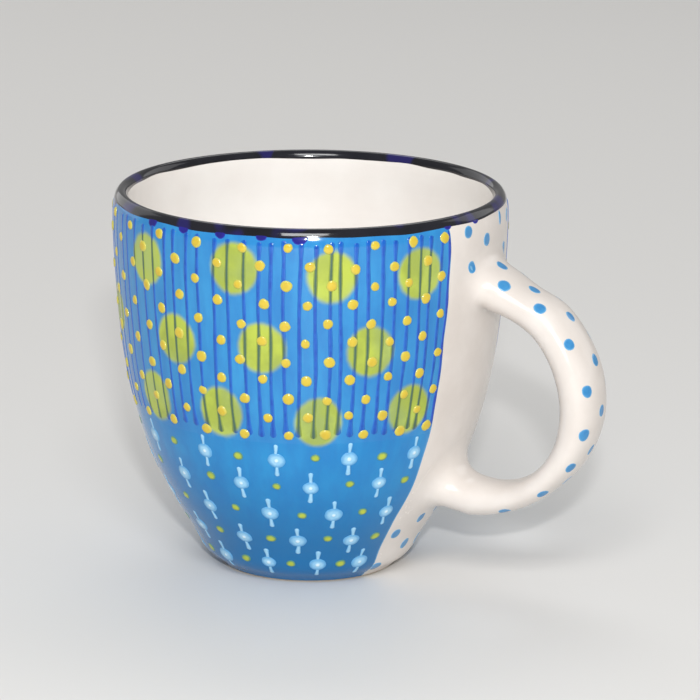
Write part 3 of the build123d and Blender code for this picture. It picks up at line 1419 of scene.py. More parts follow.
@dataclass
class WhiteGlaze:
    """White glaze beside the handle, the lining, and the glazed underside."""

    depth: float = 0.06 * MM
    thickness: float = 0.18 * MM
    under_blue: float = 1.6 * MM
    zone_columns: int = 60
    zone_rows: int = 130
    lining_columns: int = 200
    lining_rows: int = 110
    base_columns: int = 96
    base_rows: int = 14
    base_dish: float = 0.25 * MM

    def zone(self, finish: bpy.types.Material) -> Piece:
        """Strip of the outside round the handle.

        Args:
            finish: material of the white glaze.

        Returns:
            The piece.
        """
        low = OUTSIDE.at_height(CUP.glaze_low_z)
        high = OUTSIDE.at_height(CUP.band_z) + UNDER_BAND

        def spot(u: float, v: float, lift: float) -> Vector:
            """Point of the strip.

            Args:
                u: share of the way round.
                v: share of the way up.
                lift: distance off the face.

            Returns:
                The point.
            """
            length = low + (high - low) * v
            radius, height = OUTSIDE.at(length)
            edge = panel_edge(height) + self.under_blue / radius
            far = edge + FAR_EXTRA / radius
            return on_cup(OUTSIDE, length, (edge + far) * u - edge, lift)

        back = -self.depth - self.thickness
        grid = SkinGrid(
            "white_zone", self.zone_columns, self.zone_rows,
            lambda u, v: spot(u, v, -self.depth), lambda u, v: spot(u, v, back))
        piece = new_piece("white_zone_glaze", grid.build())
        piece.data.materials.append(finish)
        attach(piece, BODY)
        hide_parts("white_panel_glaze")
        return piece

    def lining(self) -> Piece:
        """Inside of the cup, floor and wall.

        Returns:
            The piece.
        """
        high = INSIDE.at_height(CUP.band_in_z) + UNDER_BAND

        def spot(u: float, v: float, lift: float) -> Vector:
            """Point of the lining."""
            return on_cup(INSIDE, high * v, FULL_TURN * u, lift)

        grid = SkinGrid(
            "lining", self.lining_columns, self.lining_rows,
            lambda u, v: spot(u, v, 0.0), lambda u, v: spot(u, v, -self.thickness), True, True)
        piece = new_piece("lining_glaze", grid.build())
        piece.data.materials.append(LINING_GLAZE.make())
        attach(piece, BODY)
        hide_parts("inner_glaze")
        return piece

    def underside(self, finish: bpy.types.Material) -> Piece:
        """Shallow glazed disc inside the foot ring, slightly dished.

        Args:
            finish: material of the white glaze.

        Returns:
            The piece.
        """
        low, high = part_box("base_glaze")
        radius = high.x

        def spot(u: float, v: float, height: float) -> Vector:
            """Point of the disc."""
            dish = self.base_dish * (1 - v * v)
            return around(radius * v, FULL_TURN * u, height + dish)

        grid = SkinGrid(
            "underside", self.base_columns, self.base_rows,
            lambda u, v: spot(u, v, low.z), lambda u, v: spot(u, v, high.z), True, True)
        piece = new_piece("underside_glaze", grid.build())
        piece.data.materials.append(finish)
        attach(piece, BODY)
        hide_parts("base_glaze")
        return piece


@dataclass
class RimBand:
    """Dark band brushed over the lip, with an uneven lower edge."""

    lift: float = 0.05 * MM
    thickness: float = GLAZE
    columns: int = 360
    rows: int = 30
    uneven: float = 0.56 * MM
    waves: float = 4.0
    edge_share: float = 0.09
    out_phase: float = 1.0
    in_phase: float = 7.0

    def _drop(self, angle: float, phase: float) -> float:
        """How far the edge strays at an angle."""
        spot = Vector((math.cos(angle) * self.waves, math.sin(angle) * self.waves, phase))
        return noise.noise(spot) * self.uneven

    def build(self) -> Piece:
        """Make the band as one closed skin over the lip.

        Returns:
            The piece.
        """
        out_low = OUTSIDE.at_height(CUP.band_z)
        in_low = INSIDE.at_height(CUP.band_in_z)

        def spot(u: float, v: float, lift: float) -> Vector:
            """Point of the band; v runs up the outside and down the inside.

            Args:
                u: share of the way round.
                v: share of the way over the lip.
                lift: distance off the face.

            Returns:
                The point.
            """
            angle = FULL_TURN * u
            edge = smooth_step(0.0, self.edge_share, min(v, 1 - v))
            lift = lift if lift < 0 else lift * edge
            if v <= 0.5:
                start = out_low + self._drop(angle, self.out_phase)
                length = start + (OUTSIDE.end - start) * v * 2
                return on_cup(OUTSIDE, length, angle, lift)
            start = in_low + self._drop(angle, self.in_phase)
            length = start + (INSIDE.end - start) * (1 - v) * 2
            return on_cup(INSIDE, length, angle, lift)

        grid = SkinGrid(
            "rim", self.columns, self.rows,
            lambda u, v: spot(u, v, self.lift), lambda u, v: spot(u, v, -self.thickness), True)
        piece = new_piece("dark_rim_band", grid.build())
        piece.data.materials.append(RIM.make())
        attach(piece, BODY)
        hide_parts("rim_band")
        return piece


@dataclass
class FootRing:
    """Bare ring that the mug stands on, ground flat with rounded edges."""

    columns: int = 160
    clearance: float = 0.3 * MM
    flat: float = 0.5 * MM
    bevel: Pair = (0.16 * MM, 0.14 * MM)
    inner_rise: float = 0.45 * MM
    outer_rise: float = 0.5 * MM

    def build(self, finish: bpy.types.Material) -> Piece:
        """Turn the ring's section round the axis.

        Args:
            finish: material of the bare clay.

        Returns:
            The piece.
        """
        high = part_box("foot_ring")[1]
        outer, top = high.x, high.z
        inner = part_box("base_glaze")[1].x + self.clearance
        step, rise = self.bevel
        section = [
            (inner, top), (inner, self.inner_rise), (inner + step, rise), (inner + self.flat, 0.0),
            (outer - self.flat, 0.0), (outer - step, rise), (outer, self.outer_rise), (outer, top),
        ]
        work = bmesh.new()
        loops = []
        for k in range(self.columns):
            angle = FULL_TURN * k / self.columns
            loops.append([work.verts.new(around(r, angle, z)) for r, z in section])
        for k, line in enumerate(loops):
            join_lines(work, line, loops[(k + 1) % self.columns], True)
        piece = new_piece("bare_foot_ring", mesh_from_bmesh("bare_foot_ring", work, RING_SHARP_DEG))
        piece.data.materials.append(finish)
        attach(piece, BODY)
        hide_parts("foot_ring")
        return piece


@dataclass(frozen=True)
class Station:
    """One cross-section of the handle."""

    x: float
    z: float
    heading_deg: float
    half_thick: float
    half_wide: float


Ring = list[Vector]


@dataclass
class Handle:
    """Strap handle with roots that flow into the wall."""

    around_count: int = 72
    step: float = 1.1 * MM
    squareness: float = 2.25
    root_rings: int = 20
    root_crowding: float = 1.25
    root_reach: float = 0.52
    strap_reach: float = 0.50
    step_down: float = 0.055 * MM
    buried: float = 0.5 * MM
    uneven: float = 0.12 * MM
    uneven_waves: float = 90.0
    bed_share: float = 0.8
    bed_columns: int = 48
    bed_rows: int = 8
    bed_top: float = 0.1 * MM
    bed_bottom: float = 0.3 * MM
    stations: tuple[Station, ...] = (
        Station(52.8, 74.5, -28, 5.2, 8.6),
        Station(57.6, 72.3, -32, 4.6, 7.9),
        Station(64.4, 68.5, -40, 5.0, 7.7),
        Station(70.0, 61.4, -58, 5.1, 7.9),
        Station(73.1, 53.2, -80, 5.2, 8.1),
        Station(73.5, 44.8, -96, 4.9, 7.9),
        Station(70.9, 36.2, -116, 4.1, 7.5),
        Station(65.4, 29.0, -138, 3.4, 7.1),
        Station(57.6, 23.9, -157, 3.5, 7.0),
        Station(50.2, 22.0, -177, 4.1, 7.4),
        Station(46.6, 21.9, -188, 4.5, 7.8),
    )
    upper_centre_z: float = 76.5 * MM
    upper_half: Pair = (10.6 * MM, 15.4 * MM)
    lower_centre_z: float = 25.2 * MM
    lower_half: Pair = (11.9 * MM, 14.2 * MM)

    def __post_init__(self) -> None:
        """Work out the smooth run of stations."""
        table = np.array([
            (s.x * MM, s.z * MM, math.radians(s.heading_deg), s.half_thick * MM, s.half_wide * MM)
            for s in self.stations
        ])
        runs = np.hypot(*np.diff(table[:, :2], axis=0).T)
        knots = np.concatenate([[0.0], np.cumsum(runs)])
        count = int(knots[-1] / self.step)
        self.along = np.linspace(0, knots[-1], count + 1)
        self.run = np.column_stack([self._ease(knots, table[:, k]) for k in range(5)])

    def _ease(self, knots: np.ndarray, values: np.ndarray) -> np.ndarray:
        """Smooth curve through one column of the stations, by cubic pieces with averaged slopes.

        Args:
            knots: lengths of the stations.
            values: their values.

        Returns:
            The values along the strap.
        """
        slopes = np.gradient(values, knots)
        k = np.clip(np.searchsorted(knots, self.along, side="right") - 1, 0, len(knots) - 2)
        gap = knots[k + 1] - knots[k]
        t = (self.along - knots[k]) / gap
        first = (2 * t ** 3 - 3 * t ** 2 + 1) * values[k] + (t ** 3 - 2 * t ** 2 + t) * gap * slopes[k]
        second = (3 * t ** 2 - 2 * t ** 3) * values[k + 1] + (t ** 3 - t ** 2) * gap * slopes[k + 1]
        return first + second

    def section(self, row: np.ndarray) -> Ring:
        """Oval of points round one station, starting on the outer side.

        Args:
            row: x, z, heading, half thickness and half width.

        Returns:
            The points.
        """
        x, z, heading, thick, wide = row
        outward = Vector((-math.sin(heading), 0, math.cos(heading)))
        centre = Vector((x, 0, z))
        ring = []
        for k in range(self.around_count):
            turn = FULL_TURN * k / self.around_count
            beside = Vector((0, wide * self._soft(math.sin(turn)), 0))
            ring.append(centre + outward * thick * self._soft(math.cos(turn)) + beside)
        return ring

    def _soft(self, value: float) -> float:
        """Slightly squared cosine or sine for the strap's section."""
        return math.copysign(abs(value) ** (2 / self.squareness), value)

    def footprint(self, centre_z: float, half: Pair) -> tuple[Ring, Ring]:
        """Oval on the wall where a root starts, and the wall's normals there.

        Args:
            centre_z: height of its middle.
            half: half length up the wall and half width round it.

        Returns:
            Points and normals, in the order of a section.
        """
        middle = OUTSIDE.at_height(centre_z)
        points, normals = [], []
        for k in range(self.around_count):
            turn = FULL_TURN * k / self.around_count
            length = middle + half[0] * math.cos(turn)
            radius = OUTSIDE.at(length)[0]
            angle = half[1] * math.sin(turn) / radius
            nr, nz = OUTSIDE.normal(length)
            points.append(on_cup(OUTSIDE, length, angle, -self.step_down))
            normals.append(Vector((nr * math.cos(angle), nr * math.sin(angle), nz)))
        return points, normals

    def root(self, footprint: tuple[Ring, Ring], ring: Ring, heading: Vector) -> list[Ring]:
        """Rings that leave the wall along its surface and turn into the strap.

        Args:
            footprint: points on the wall, and the wall's normals there.
            ring: first ring of the strap.
            heading: unit direction of the strap, away from the wall.

        Returns:
            Rings from the wall outwards, without the strap's own ring.
        """
        base, normals = footprint
        middle = sum(base, Vector()) / len(base)
        rings = []
        for j in range(self.root_rings):
            t = (j / self.root_rings) ** self.root_crowding
            line = []
            for start, normal, end in zip(base, normals, ring):
                inward = middle - start
                inward = (inward - normal * inward.dot(normal)).normalized()
                gap = (end - start).length
                a = start + inward * gap * self.root_reach
                b = end - heading * gap * self.strap_reach
                near = start * (1 - t) ** 3 + a * 3 * t * (1 - t) ** 2
                line.append(near + b * 3 * t * t * (1 - t) + end * t ** 3)
            rings.append(line)
        buried = [p - n * self.buried for p, n in zip(base, normals)]
        return [buried] + rings

    def build(self, finish: bpy.types.Material) -> Piece:
        """Make the whole handle as one closed mesh.

        Args:
            finish: material of the white glaze.

        Returns:
            The piece.
        """
        strap = [self.section(row) for row in self.run]
        start, end = self.run[0][2], self.run[-1][2]
        heading = Vector((math.cos(start), 0, math.sin(start)))
        back = -Vector((math.cos(end), 0, math.sin(end)))
        upper = self.root(self.footprint(self.upper_centre_z, self.upper_half), strap[0], heading)
        lower = self.root(self._lower_footprint(), strap[-1], back)
        rings = upper + strap + lower[::-1]
        work = bmesh.new()
        loops = [[work.verts.new(self._uneven(p)) for p in ring] for ring in rings]
        for low, high in zip(loops, loops[1:]):
            join_lines(work, low, high, True)
        for loop in (loops[0], loops[-1]):
            middle = work.verts.new(sum((v.co for v in loop), Vector()) / len(loop))
            for k in range(len(loop)):
                work.faces.new((loop[k], loop[(k + 1) % len(loop)], middle))
        piece = new_piece("strap_handle", mesh_from_bmesh("strap_handle", work, ROOT_SHARP_DEG))
        piece.data.materials.append(finish)
        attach(piece, BODY)
        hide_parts("handle")
        return piece

    def slip_beds(self, finish: bpy.types.Material) -> list[Piece]:
        """Beds of slip that the roots are stuck down with, out of sight under them.

        Args:
            finish: material of the clay.

        Returns:
            The two pieces.
        """
        beds = []
        kinds = (
            ("upper", self.upper_centre_z, self.upper_half),
            ("lower", self.lower_centre_z, self.lower_half),
        )
        for name, centre_z, half in kinds:
            bed = new_piece(f"{name}_slip_bed", self._bed(name, OUTSIDE.at_height(centre_z), half))
            bed.data.materials.append(finish)
            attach(bed, BODY)
            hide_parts(f"{name}_handle_slip")
            beds.append(bed)
        return beds

    def _bed(self, name: str, middle: float, half: Pair) -> bpy.types.Mesh:
        """Thin oval bed under a root.

        Args:
            name: name of the root.
            middle: length along the outer section at its middle.
            half: half length up the wall and half width round it, of the root.

        Returns:
            The mesh.
        """
        tall, wide = half[0] * self.bed_share, half[1] * self.bed_share

        def spot(u: float, v: float, depth: float) -> Vector:
            """Point of the bed, from its middle outwards."""
            length = middle + tall * v * math.cos(FULL_TURN * u)
            angle = wide * v * math.sin(FULL_TURN * u) / OUTSIDE.at(length)[0]
            return on_cup(OUTSIDE, length, angle, -depth)

        grid = SkinGrid(
            f"{name}_bed", self.bed_columns, self.bed_rows,
            lambda u, v: spot(u, v, self.bed_top), lambda u, v: spot(u, v, self.bed_bottom), True, True)
        return grid.build()

    def _lower_footprint(self) -> tuple[Ring, Ring]:
        """Footprint of the lower root, in the order of the strap's last section, which is upside down.

        Returns:
            Points and normals.
        """
        points, normals = self.footprint(self.lower_centre_z, self.lower_half)
        half = self.around_count // 2
        order = [(half - k) % self.around_count for k in range(self.around_count)]
        return [points[k] for k in order], [normals[k] for k in order]

    def _uneven(self, spot: Vector) -> Vector:
        """Point moved a little, as fingers leave a pulled strap."""
        near = spot * self.uneven_waves
        drift = Vector([noise.noise(near + Vector((0, 0, 5 * k))) for k in range(3)])
        return spot + drift * self.uneven

    def place(self, along: float, turn_deg: float) -> Place:
        """Place of a mark on the strap.

        Args:
            along: distance from the upper end of the strap.
            turn_deg: angle round the strap from its outer side.

        Returns:
            The place, facing outwards.
        """
        row = np.array([np.interp(along, self.along, self.run[:, k]) for k in range(5)])
        x, z, heading, thick, wide = row
        turn = math.radians(turn_deg)
        outward = Vector((-math.sin(heading), 0, math.cos(heading)))
        forward = Vector((math.cos(heading), 0, math.sin(heading)))
        past_ends = min(along, 0.0) + max(along - self.along[-1], 0.0)
        centre = Vector((x, 0, z)) + forward * past_ends
        spot = centre + outward * thick * math.cos(turn) + Vector((0, wide * math.sin(turn), 0))
        normal = (outward * math.cos(turn) / thick + Vector((0, math.sin(turn) / wide, 0))).normalized()
        side = forward.cross(normal).normalized()
        return Place(spot, Matrix((side, normal.cross(side), normal)).transposed())


@dataclass
class Marks:
    """All the painted marks: stripes, dots, flowers, dabs."""

    dot_top: float = 91.0 * MM
    dot_step: float = 4.72 * MM
    dot_rows: int = 11
    dot_pitch: float = 13.3
    dot_start: float = -28.3
    dot_jitter: Pair = (0.8, 0.45 * MM)
    stripe_pitch: float = 4.3
    stripe_start: float = -25.5
    stripe_top: float = 92.9 * MM
    stripe_low: float = 42.9 * MM
    stripe_inset: float = 5 * MM
    stripe_jitter_deg: float = 0.75
    stripe_half: float = 0.50 * MM
    stripe_blob: float = 0.9 * MM
    stripe_swell: Pair = (0.18 * MM, 1.9 * MM)
    stripe_start_swell: Pair = (0.24 * MM, 4.5 * MM)
    stripe_cap: float = 0.5 * MM
    edge_top: float = 93.0 * MM
    edge_half: float = 0.42 * MM
    edge_inset: float = 0.72 * MM
    edge_rows: int = 110
    edge_profile: tuple[Pair, ...] = ((-1.0, 0.0), (-0.55, 0.07), (0.0, 0.09), (0.55, 0.07), (1.0, 0.0))
    flower_heights: tuple[float, ...] = (37.0, 29.3, 21.2, 13.4, 5.9)
    flower_pitch: float = 25.7
    flower_start: float = -33.5
    flower_drift: float = -2.75
    flower_stagger: float = -11.0
    flower_jitter: Pair = (1.1, 0.5 * MM)
    stroke_reach: float = 3.1 * MM
    handle_steps: tuple[float, ...] = (9.5, 10.2, 10.2, 10.8, 8.8, 8.6, 10.4, 10.0)
    handle_first: float = -3.9 * MM
    handle_side_deg: float = 46.0
    dab_runs_deg: tuple[Pair, ...] = ((-9.5, -23.0), (-68.0, -118.0), (-146.0, -205.0), (-250.0, -340.0))
    dab_steps_deg: Pair = (10.0, 13.6)
    beside_handle_deg: float = 30.0
    drip: Pair = (6.6, 91.6 * MM)
    press_columns: int = 420
    press_rows: int = 150
    press_depth: float = 2 * MM
    zone_dots_near: tuple[Pair, ...] = (
        (-13.5, 91.3), (-3.6, 87.9), (-11.8, 82.2), (-21.5, 12.8), (-8.4, 8.3), (-24.2, 3.2), (-7.5, 15.6))
    zone_dots_far: tuple[Pair, ...] = (
        (16.5, 90.6), (11.5, 83.0), (21.0, 12.2), (9.5, 7.4), (23.5, 3.3), (8.5, 16.2))
    zone_dot_search: float = 7 * MM
    zone_dot_lift: float = 0.3 * MM

    def press_surface(self) -> Piece:
        """Helper surface that the marks are pressed on; removed at the end.

        Returns:
            The helper object.
        """
        def spot(u: float, v: float, lift: float) -> Vector:
            """Point of the outside."""
            return on_cup(OUTSIDE, OUTSIDE.end * v, FULL_TURN * u, lift)

        grid = SkinGrid(
            "press", self.press_columns, self.press_rows,
            lambda u, v: spot(u, v, 0.0), lambda u, v: spot(u, v, -self.press_depth), True)
        return new_piece("press_surface", grid.build())

    def stripe_places(self) -> list[Place]:
        """Stripes all round the panel, each a little long or short.

        Returns:
            The places.
        """
        draw = random.Random(21)
        middle = (self.stripe_top + self.stripe_low) / 2
        high, low = self.stripe_top - self.stripe_inset, self.stripe_low + self.stripe_inset
        places = []
        for k in range(int(360 / self.stripe_pitch)):
            angle = hand_spread(math.radians(self.stripe_start - self.stripe_pitch * k))
            angle += draw.uniform(-1, 1) * math.radians(self.stripe_jitter_deg)
            ends = hug_edge(angle, high), hug_edge(angle, low)
            if inside_panel(ends[1], low, 1.2 * MM):
                level = middle + draw.uniform(-0.5, 0.4) * MM
                place = places_on_cup([((ends[0] + ends[1]) / 2, level)])[0]
                lean = math.atan((ends[1] - ends[0]) * CUP.lip_outer_r * 0.96 / (high - low))
                place.facing = place.facing @ Matrix.Rotation(lean, 3, "Z")
                places.append(place)
        return places

    def stripe_width(self, share: float) -> float:
        """Half width of a stripe: a thick start, a thin run and a blob at the foot.

        Args:
            share: share of the length, from the foot.

        Returns:
            The half width.
        """
        length = self.stripe_top - self.stripe_low
        from_foot = share * length
        from_top = (1 - share) * length
        run = self.stripe_half + 0.05 * MM * math.sin(share * 17) + 0.04 * MM * math.sin(share * 41)
        blob = self.stripe_blob
        if from_foot < 2 * blob:
            round_part = math.sqrt(max(0.0, blob ** 2 - (from_foot - blob) ** 2))
            neck = run * smooth_step(blob, 2 * blob, from_foot)
            return max(round_part, neck, THINNEST)
        more, reach = self.stripe_swell
        swell = more * (1 - smooth_step(2 * blob, 2 * blob + reach, from_foot))
        more, reach = self.stripe_start_swell
        start = more * (1 - smooth_step(0, reach, from_top))
        cap = round_cap(min(1.0, from_top / self.stripe_cap))
        return max((run + swell + start) * cap, THINNEST)

    def yellow_spots(self) -> Spots:
        """Staggered grid of raised dots.

        Returns:
            The angle and height of each dot.
        """
        rows = range(self.dot_rows)
        grid = MarkRows(
            heights=[self.dot_top - self.dot_step * k for k in rows],
            starts_deg=[self.dot_start - (self.dot_pitch / 2 if k % 2 else 0) for k in rows],
            pitch_deg=self.dot_pitch, margin=1.1 * MM,
            jitter_angle=self.dot_jitter[0], jitter_height=self.dot_jitter[1], seed=5, hugging=True)
        return grid.spots()

    def flower_rows(self, between: bool) -> MarkRows:
        """Rows of the flowers, or of the small dots between them.

        Args:
            between: True for the dots between the flowers.

        Returns:
            The rows.
        """
        starts = []
        for k in range(len(self.flower_heights)):
            start = self.flower_start + self.flower_drift * k + (self.flower_stagger if k % 2 else 0)
            starts.append(start - (self.flower_pitch / 2 if between else 0))
        rise = 0.5 * MM if between else 0.0
        return MarkRows(
            heights=[h * MM + rise for h in self.flower_heights], starts_deg=starts,
            pitch_deg=self.flower_pitch, margin=1.8 * MM,
            jitter_angle=self.flower_jitter[0], jitter_height=self.flower_jitter[1],
            seed=31 if between else 30)

    @staticmethod
    def flower_stroke_width(share: float) -> float:
        """Half width of a flower's stroke: narrow at the blob, wider and round at the tip.

        Args:
            share: share of the length, from the blob.

        Returns:
            The half width.
        """
        body = 0.42 * MM + 0.24 * MM * smooth_step(0.2, 0.95, share)
        cap = round_cap(min(1.0, (1 - share) / 0.14))
        return max(body * cap, THINNEST)

    def stroke_places(self, spots: Spots) -> list[Place]:
        """One stroke above and one below each flower.

        Args:
            spots: angle and height of each flower.

        Returns:
            The places.
        """
        places = []
        for angle, height in spots:
            length = OUTSIDE.at_height(height)
            for side in (1, -1):
                there = max(length + side * self.stroke_reach, 0.4 * MM)
                facing = facing_on_cup(there, angle)
                if side < 0:
                    facing = facing @ Matrix.Rotation(math.pi, 3, "Z")
                places.append(Place(on_cup(OUTSIDE, there, angle), facing))
        return places

    def edge_lines(self) -> Piece:
        """Navy line brushed down each side of the striped half, a little way in from its edge.

        Returns:
            The piece, not yet dressed.
        """
        work = bmesh.new()
        thin = work.verts.layers.float.new("thin")
        over = [(place, lift * MM) for place, lift in self.edge_profile]
        across = [(-1.0, -STAMP_SINK), *over, (1.0, -STAMP_SINK)]
        for side, extra in ((1, FAR_EXTRA), (-1, 0.0)):
            lines = []
            for j in range(self.edge_rows + 1):
                share = j / self.edge_rows
                height = self.stripe_low + (self.edge_top - self.stripe_low) * share
                length = OUTSIDE.at_height(height)
                radius = OUTSIDE.at(length)[0]
                swell = 1 + 0.18 * math.sin(share * 23 + side) + 0.12 * math.sin(share * 51)
                half = self.edge_half * swell * max(0.05, 1 - (2 * share - 1) ** 40)
                line = []
                for place, lift in across:
                    inward = (extra + self.edge_inset + place * half) / radius
                    angle = side * (panel_edge(height) + inward)
                    vertex = work.verts.new(on_cup(OUTSIDE, length, angle, lift))
                    vertex[thin] = abs(place)
                    line.append(vertex)
                lines.append(line)
            for low, high in zip(lines, lines[1:]):
                join_lines(work, low, high, True)
            work.faces.new(tuple(reversed(lines[0])))
            work.faces.new(tuple(lines[-1]))
        return new_piece("panel_edge_lines", mesh_from_bmesh("panel_edge_lines", work, SHARP_DEG))

    def rim_dab_spots(self) -> Spots:
        """Navy dabs that hang below the rim band in loose runs.

        Returns:
            The angle and height of each dab.
        """
        draw = random.Random(14)
        spots = []
        for first, last in self.dab_runs_deg:
            angle = first
            while angle > last:
                raised = 0.5 if abs(angle) < self.beside_handle_deg else 0.0
                height = CUP.band_z + (draw.uniform(0.0, 0.5) + raised) * MM
                spots.append((math.radians(angle), height))
                angle -= draw.uniform(*self.dab_steps_deg)
        return spots

    def build(self, handle: Handle, strap: Piece) -> list[Piece]:
        """Press every kind of mark and ride it on the cup.

        Args:
            handle: the handle, which knows where its dots go.
            strap: the handle's piece.

        Returns:
            The pieces.
        """
        surface = self.press_surface()
        white_surface = self._join(surface, strap)
        edges = self.edge_lines()
        edges.data.materials.append(EDGE_PAINT.make())
        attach(edges, BODY)
        pieces = [edges]
        stamps = self._stamps()
        for kind in self._kinds(stamps, surface, white_surface, handle, strap):
            piece = kind.build()
            if kind.name == "blue_stripes":
                SpongedSpots().write(piece)
            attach(piece, BODY)
            pieces.append(piece)
        for helper in (surface, white_surface, *stamps.values()):
            bpy.data.objects.remove(helper)
        return pieces

    def _stamps(self) -> dict[str, Piece]:
        """Make one stamp of each kind of mark.

        Returns:
            The stamps by name.
        """
        stripe_length = self.stripe_top - self.stripe_low
        stamps = (
            DotStamp("yellow_dot", 1.3 * MM, 0.34 * MM),
            StrokeStamp("stripe", stripe_length, 0.10 * MM, self.stripe_width, 40),
            DotStamp("flower_blob", 2.1 * MM, 0.10 * MM, 0.93, 20),
            DotStamp("flower_core", 0.62 * MM, 0.17 * MM, 1.0, 12),
            StrokeStamp("flower_stroke", 3.0 * MM, 0.09 * MM, self.flower_stroke_width, 8),
            DotStamp("small_dot", 1.3 * MM, 0.1 * MM, 0.88, 14),
            DotStamp("blue_dot", 1.55 * MM, 0.045 * MM, 1.06, 18),
            DotStamp("rim_dab", 1.7 * MM, 0.035 * MM, 0.95, 18),
            DotStamp("rim_drip", 0.8 * MM, 0.09 * MM, 2.3, 16),
        )
        return {stamp.name: stamp.build() for stamp in stamps}

    def _kinds(
        self, stamps: dict[str, Piece], surface: Piece, white_surface: Piece, handle: Handle, strap: Piece,
    ) -> list[PressedMarks]:
        """Every kind of pressed mark, in the order in which it is painted.

        Args:
            stamps: the stamps by name.
            surface: outside of the cup.
            white_surface: outside of the cup and the handle together.
            handle: the handle, which knows where its dots go.
            strap: the handle's piece.

        Returns:
            The kinds of mark, not yet pressed.
        """
        flowers = self.flower_rows(False).spots()
        on_flowers = places_on_cup(flowers)
        between = places_on_cup(self.flower_rows(True).spots())
        drip = places_on_cup([(math.radians(self.drip[0]), self.drip[1])])
        stripe_paint = STRIPE_PAINT.make()
        blue_paint = BLUE_PAINT.make()
        return [
            PressedMarks(
                "blue_stripes", stamps["stripe"], surface, self.stripe_places(), stripe_paint,
                "blue_glaze", turn_spread=0.012, waver=1.1 * MM, waver_size=22 * MM, seed=2),
            PressedMarks(
                "yellow_dots", stamps["yellow_dot"], surface, places_on_cup(self.yellow_spots()),
                YELLOW_SLIP.make(), "blue_glaze",
                size_spread=0.14, turn_spread=3.1, waver=0.6 * MM, waver_size=1.6 * MM, seed=4),
            PressedMarks(
                "flower_strokes", stamps["flower_stroke"], surface, self.stroke_places(flowers),
                PALE_PAINT.make(), "blue_glaze",
                size_spread=0.1, turn_spread=0.12, waver=0.3 * MM, waver_size=2 * MM, seed=6),
            PressedMarks(
                "flower_blobs", stamps["flower_blob"], surface, on_flowers, PALE_PAINT.make(), "blue_glaze",
                size_spread=0.08, turn_spread=0.3, waver=0.5 * MM, waver_size=2 * MM, lift=0.02 * MM, seed=7),
            PressedMarks(
                "flower_centres", stamps["flower_core"], surface, on_flowers, WHITE_PAINT.make(),
                "blue_glaze", size_spread=0.15, turn_spread=3.0, lift=0.03 * MM, seed=8),
            PressedMarks(
                "small_green_dots", stamps["small_dot"], surface, between, GREEN_PAINT.make(), "blue_glaze",
                size_spread=0.12, turn_spread=0.3, waver=0.5 * MM, waver_size=1.6 * MM, seed=9),
            PressedMarks(
                "rim_dabs", stamps["rim_dab"], surface, places_on_cup(self.rim_dab_spots()),
                NAVY_PAINT.make(), "dark_glaze",
                size_spread=0.15, turn_spread=0.3, waver=0.5 * MM, waver_size=2.5 * MM, seed=10),
            PressedMarks(
                "rim_drip", stamps["rim_drip"], surface, drip, BLUE_PAINT.make(), "dark_glaze",
                waver=0.3 * MM, waver_size=2 * MM, lift=-0.04 * MM),
            PressedMarks(
                "white_zone_dots", stamps["blue_dot"], white_surface, self._zone_places(white_surface),
                blue_paint, "white_glaze", size_spread=0.08, turn_spread=0.4,
                waver=0.4 * MM, waver_size=2 * MM, lift=-0.02 * MM, seed=11),
            PressedMarks(
                "handle_dots", stamps["blue_dot"], strap, self._handle_places(handle), blue_paint,
                "white_glaze", size_spread=0.08, turn_spread=0.4,
                waver=0.4 * MM, waver_size=2 * MM, seed=12),
        ]

    @staticmethod
    def _join(first: Piece, second: Piece) -> Piece:
        """Helper surface made of two pieces.

        Args:
            first: one piece.
            second: the other.

        Returns:
            The helper object.
        """
        work = bmesh.new()
        for piece in (first, second):
            work.from_mesh(piece.data)
        mesh = bpy.data.meshes.new("joined_surface")
        work.to_mesh(mesh)
        work.free()
        return new_piece("joined_surface", mesh)

    def _zone_places(self, surface: Piece) -> list[Place]:
        """Dots on the white glaze beside the handle, some of them on its spreading roots.

        Args:
            surface: the cup and the handle together.

        Returns:
            The places, each found by going in towards the wall from outside.
        """
        mesh = surface.data
        tree = BVHTree.FromPolygons([v.co for v in mesh.vertices], [p.vertices for p in mesh.polygons])
        dots = self.zone_dots_near + self.zone_dots_far
        places = []
        for place in places_on_cup([(math.radians(angle), height * MM) for angle, height in dots]):
            out = place.facing.col[2]
            hit, normal, _, _ = tree.ray_cast(place.spot + out * self.zone_dot_search, -out)
            along = place.facing.col[0]
            along = (along - normal * along.dot(normal)).normalized()
            facing = Matrix((along, normal.cross(along), normal)).transposed()
            places.append(Place(hit + normal * self.zone_dot_lift, facing))
        return places

    def _handle_places(self, handle: Handle) -> list[Place]:
        """Three staggered rows along the outside of the strap, starting on the upper root.

        Args:
            handle: the handle.

        Returns:
            The places.
        """
        draw = random.Random(9)
        places = []
        crest = self.handle_first
        for step in self.handle_steps:
            places.append(handle.place(crest + draw.uniform(-0.3, 0.3) * MM, draw.uniform(-3, 3)))
            for side in (1, -1):
                beside = crest + step * MM * 0.5 + draw.uniform(-0.4, 0.4) * MM
                places.append(handle.place(beside, self.handle_side_deg * side + draw.uniform(-3, 3)))
            crest += step * MM
        return places


# ---------------------------------------------------------------- stage
@dataclass(frozen=True)
class Lamp:
    """Soft rectangular light aimed at the mug; its azimuth is measured from the camera's side."""

    name: str
    azimuth_deg: float
    elevation_deg: float
    away: float
    size: Pair
    watts: float


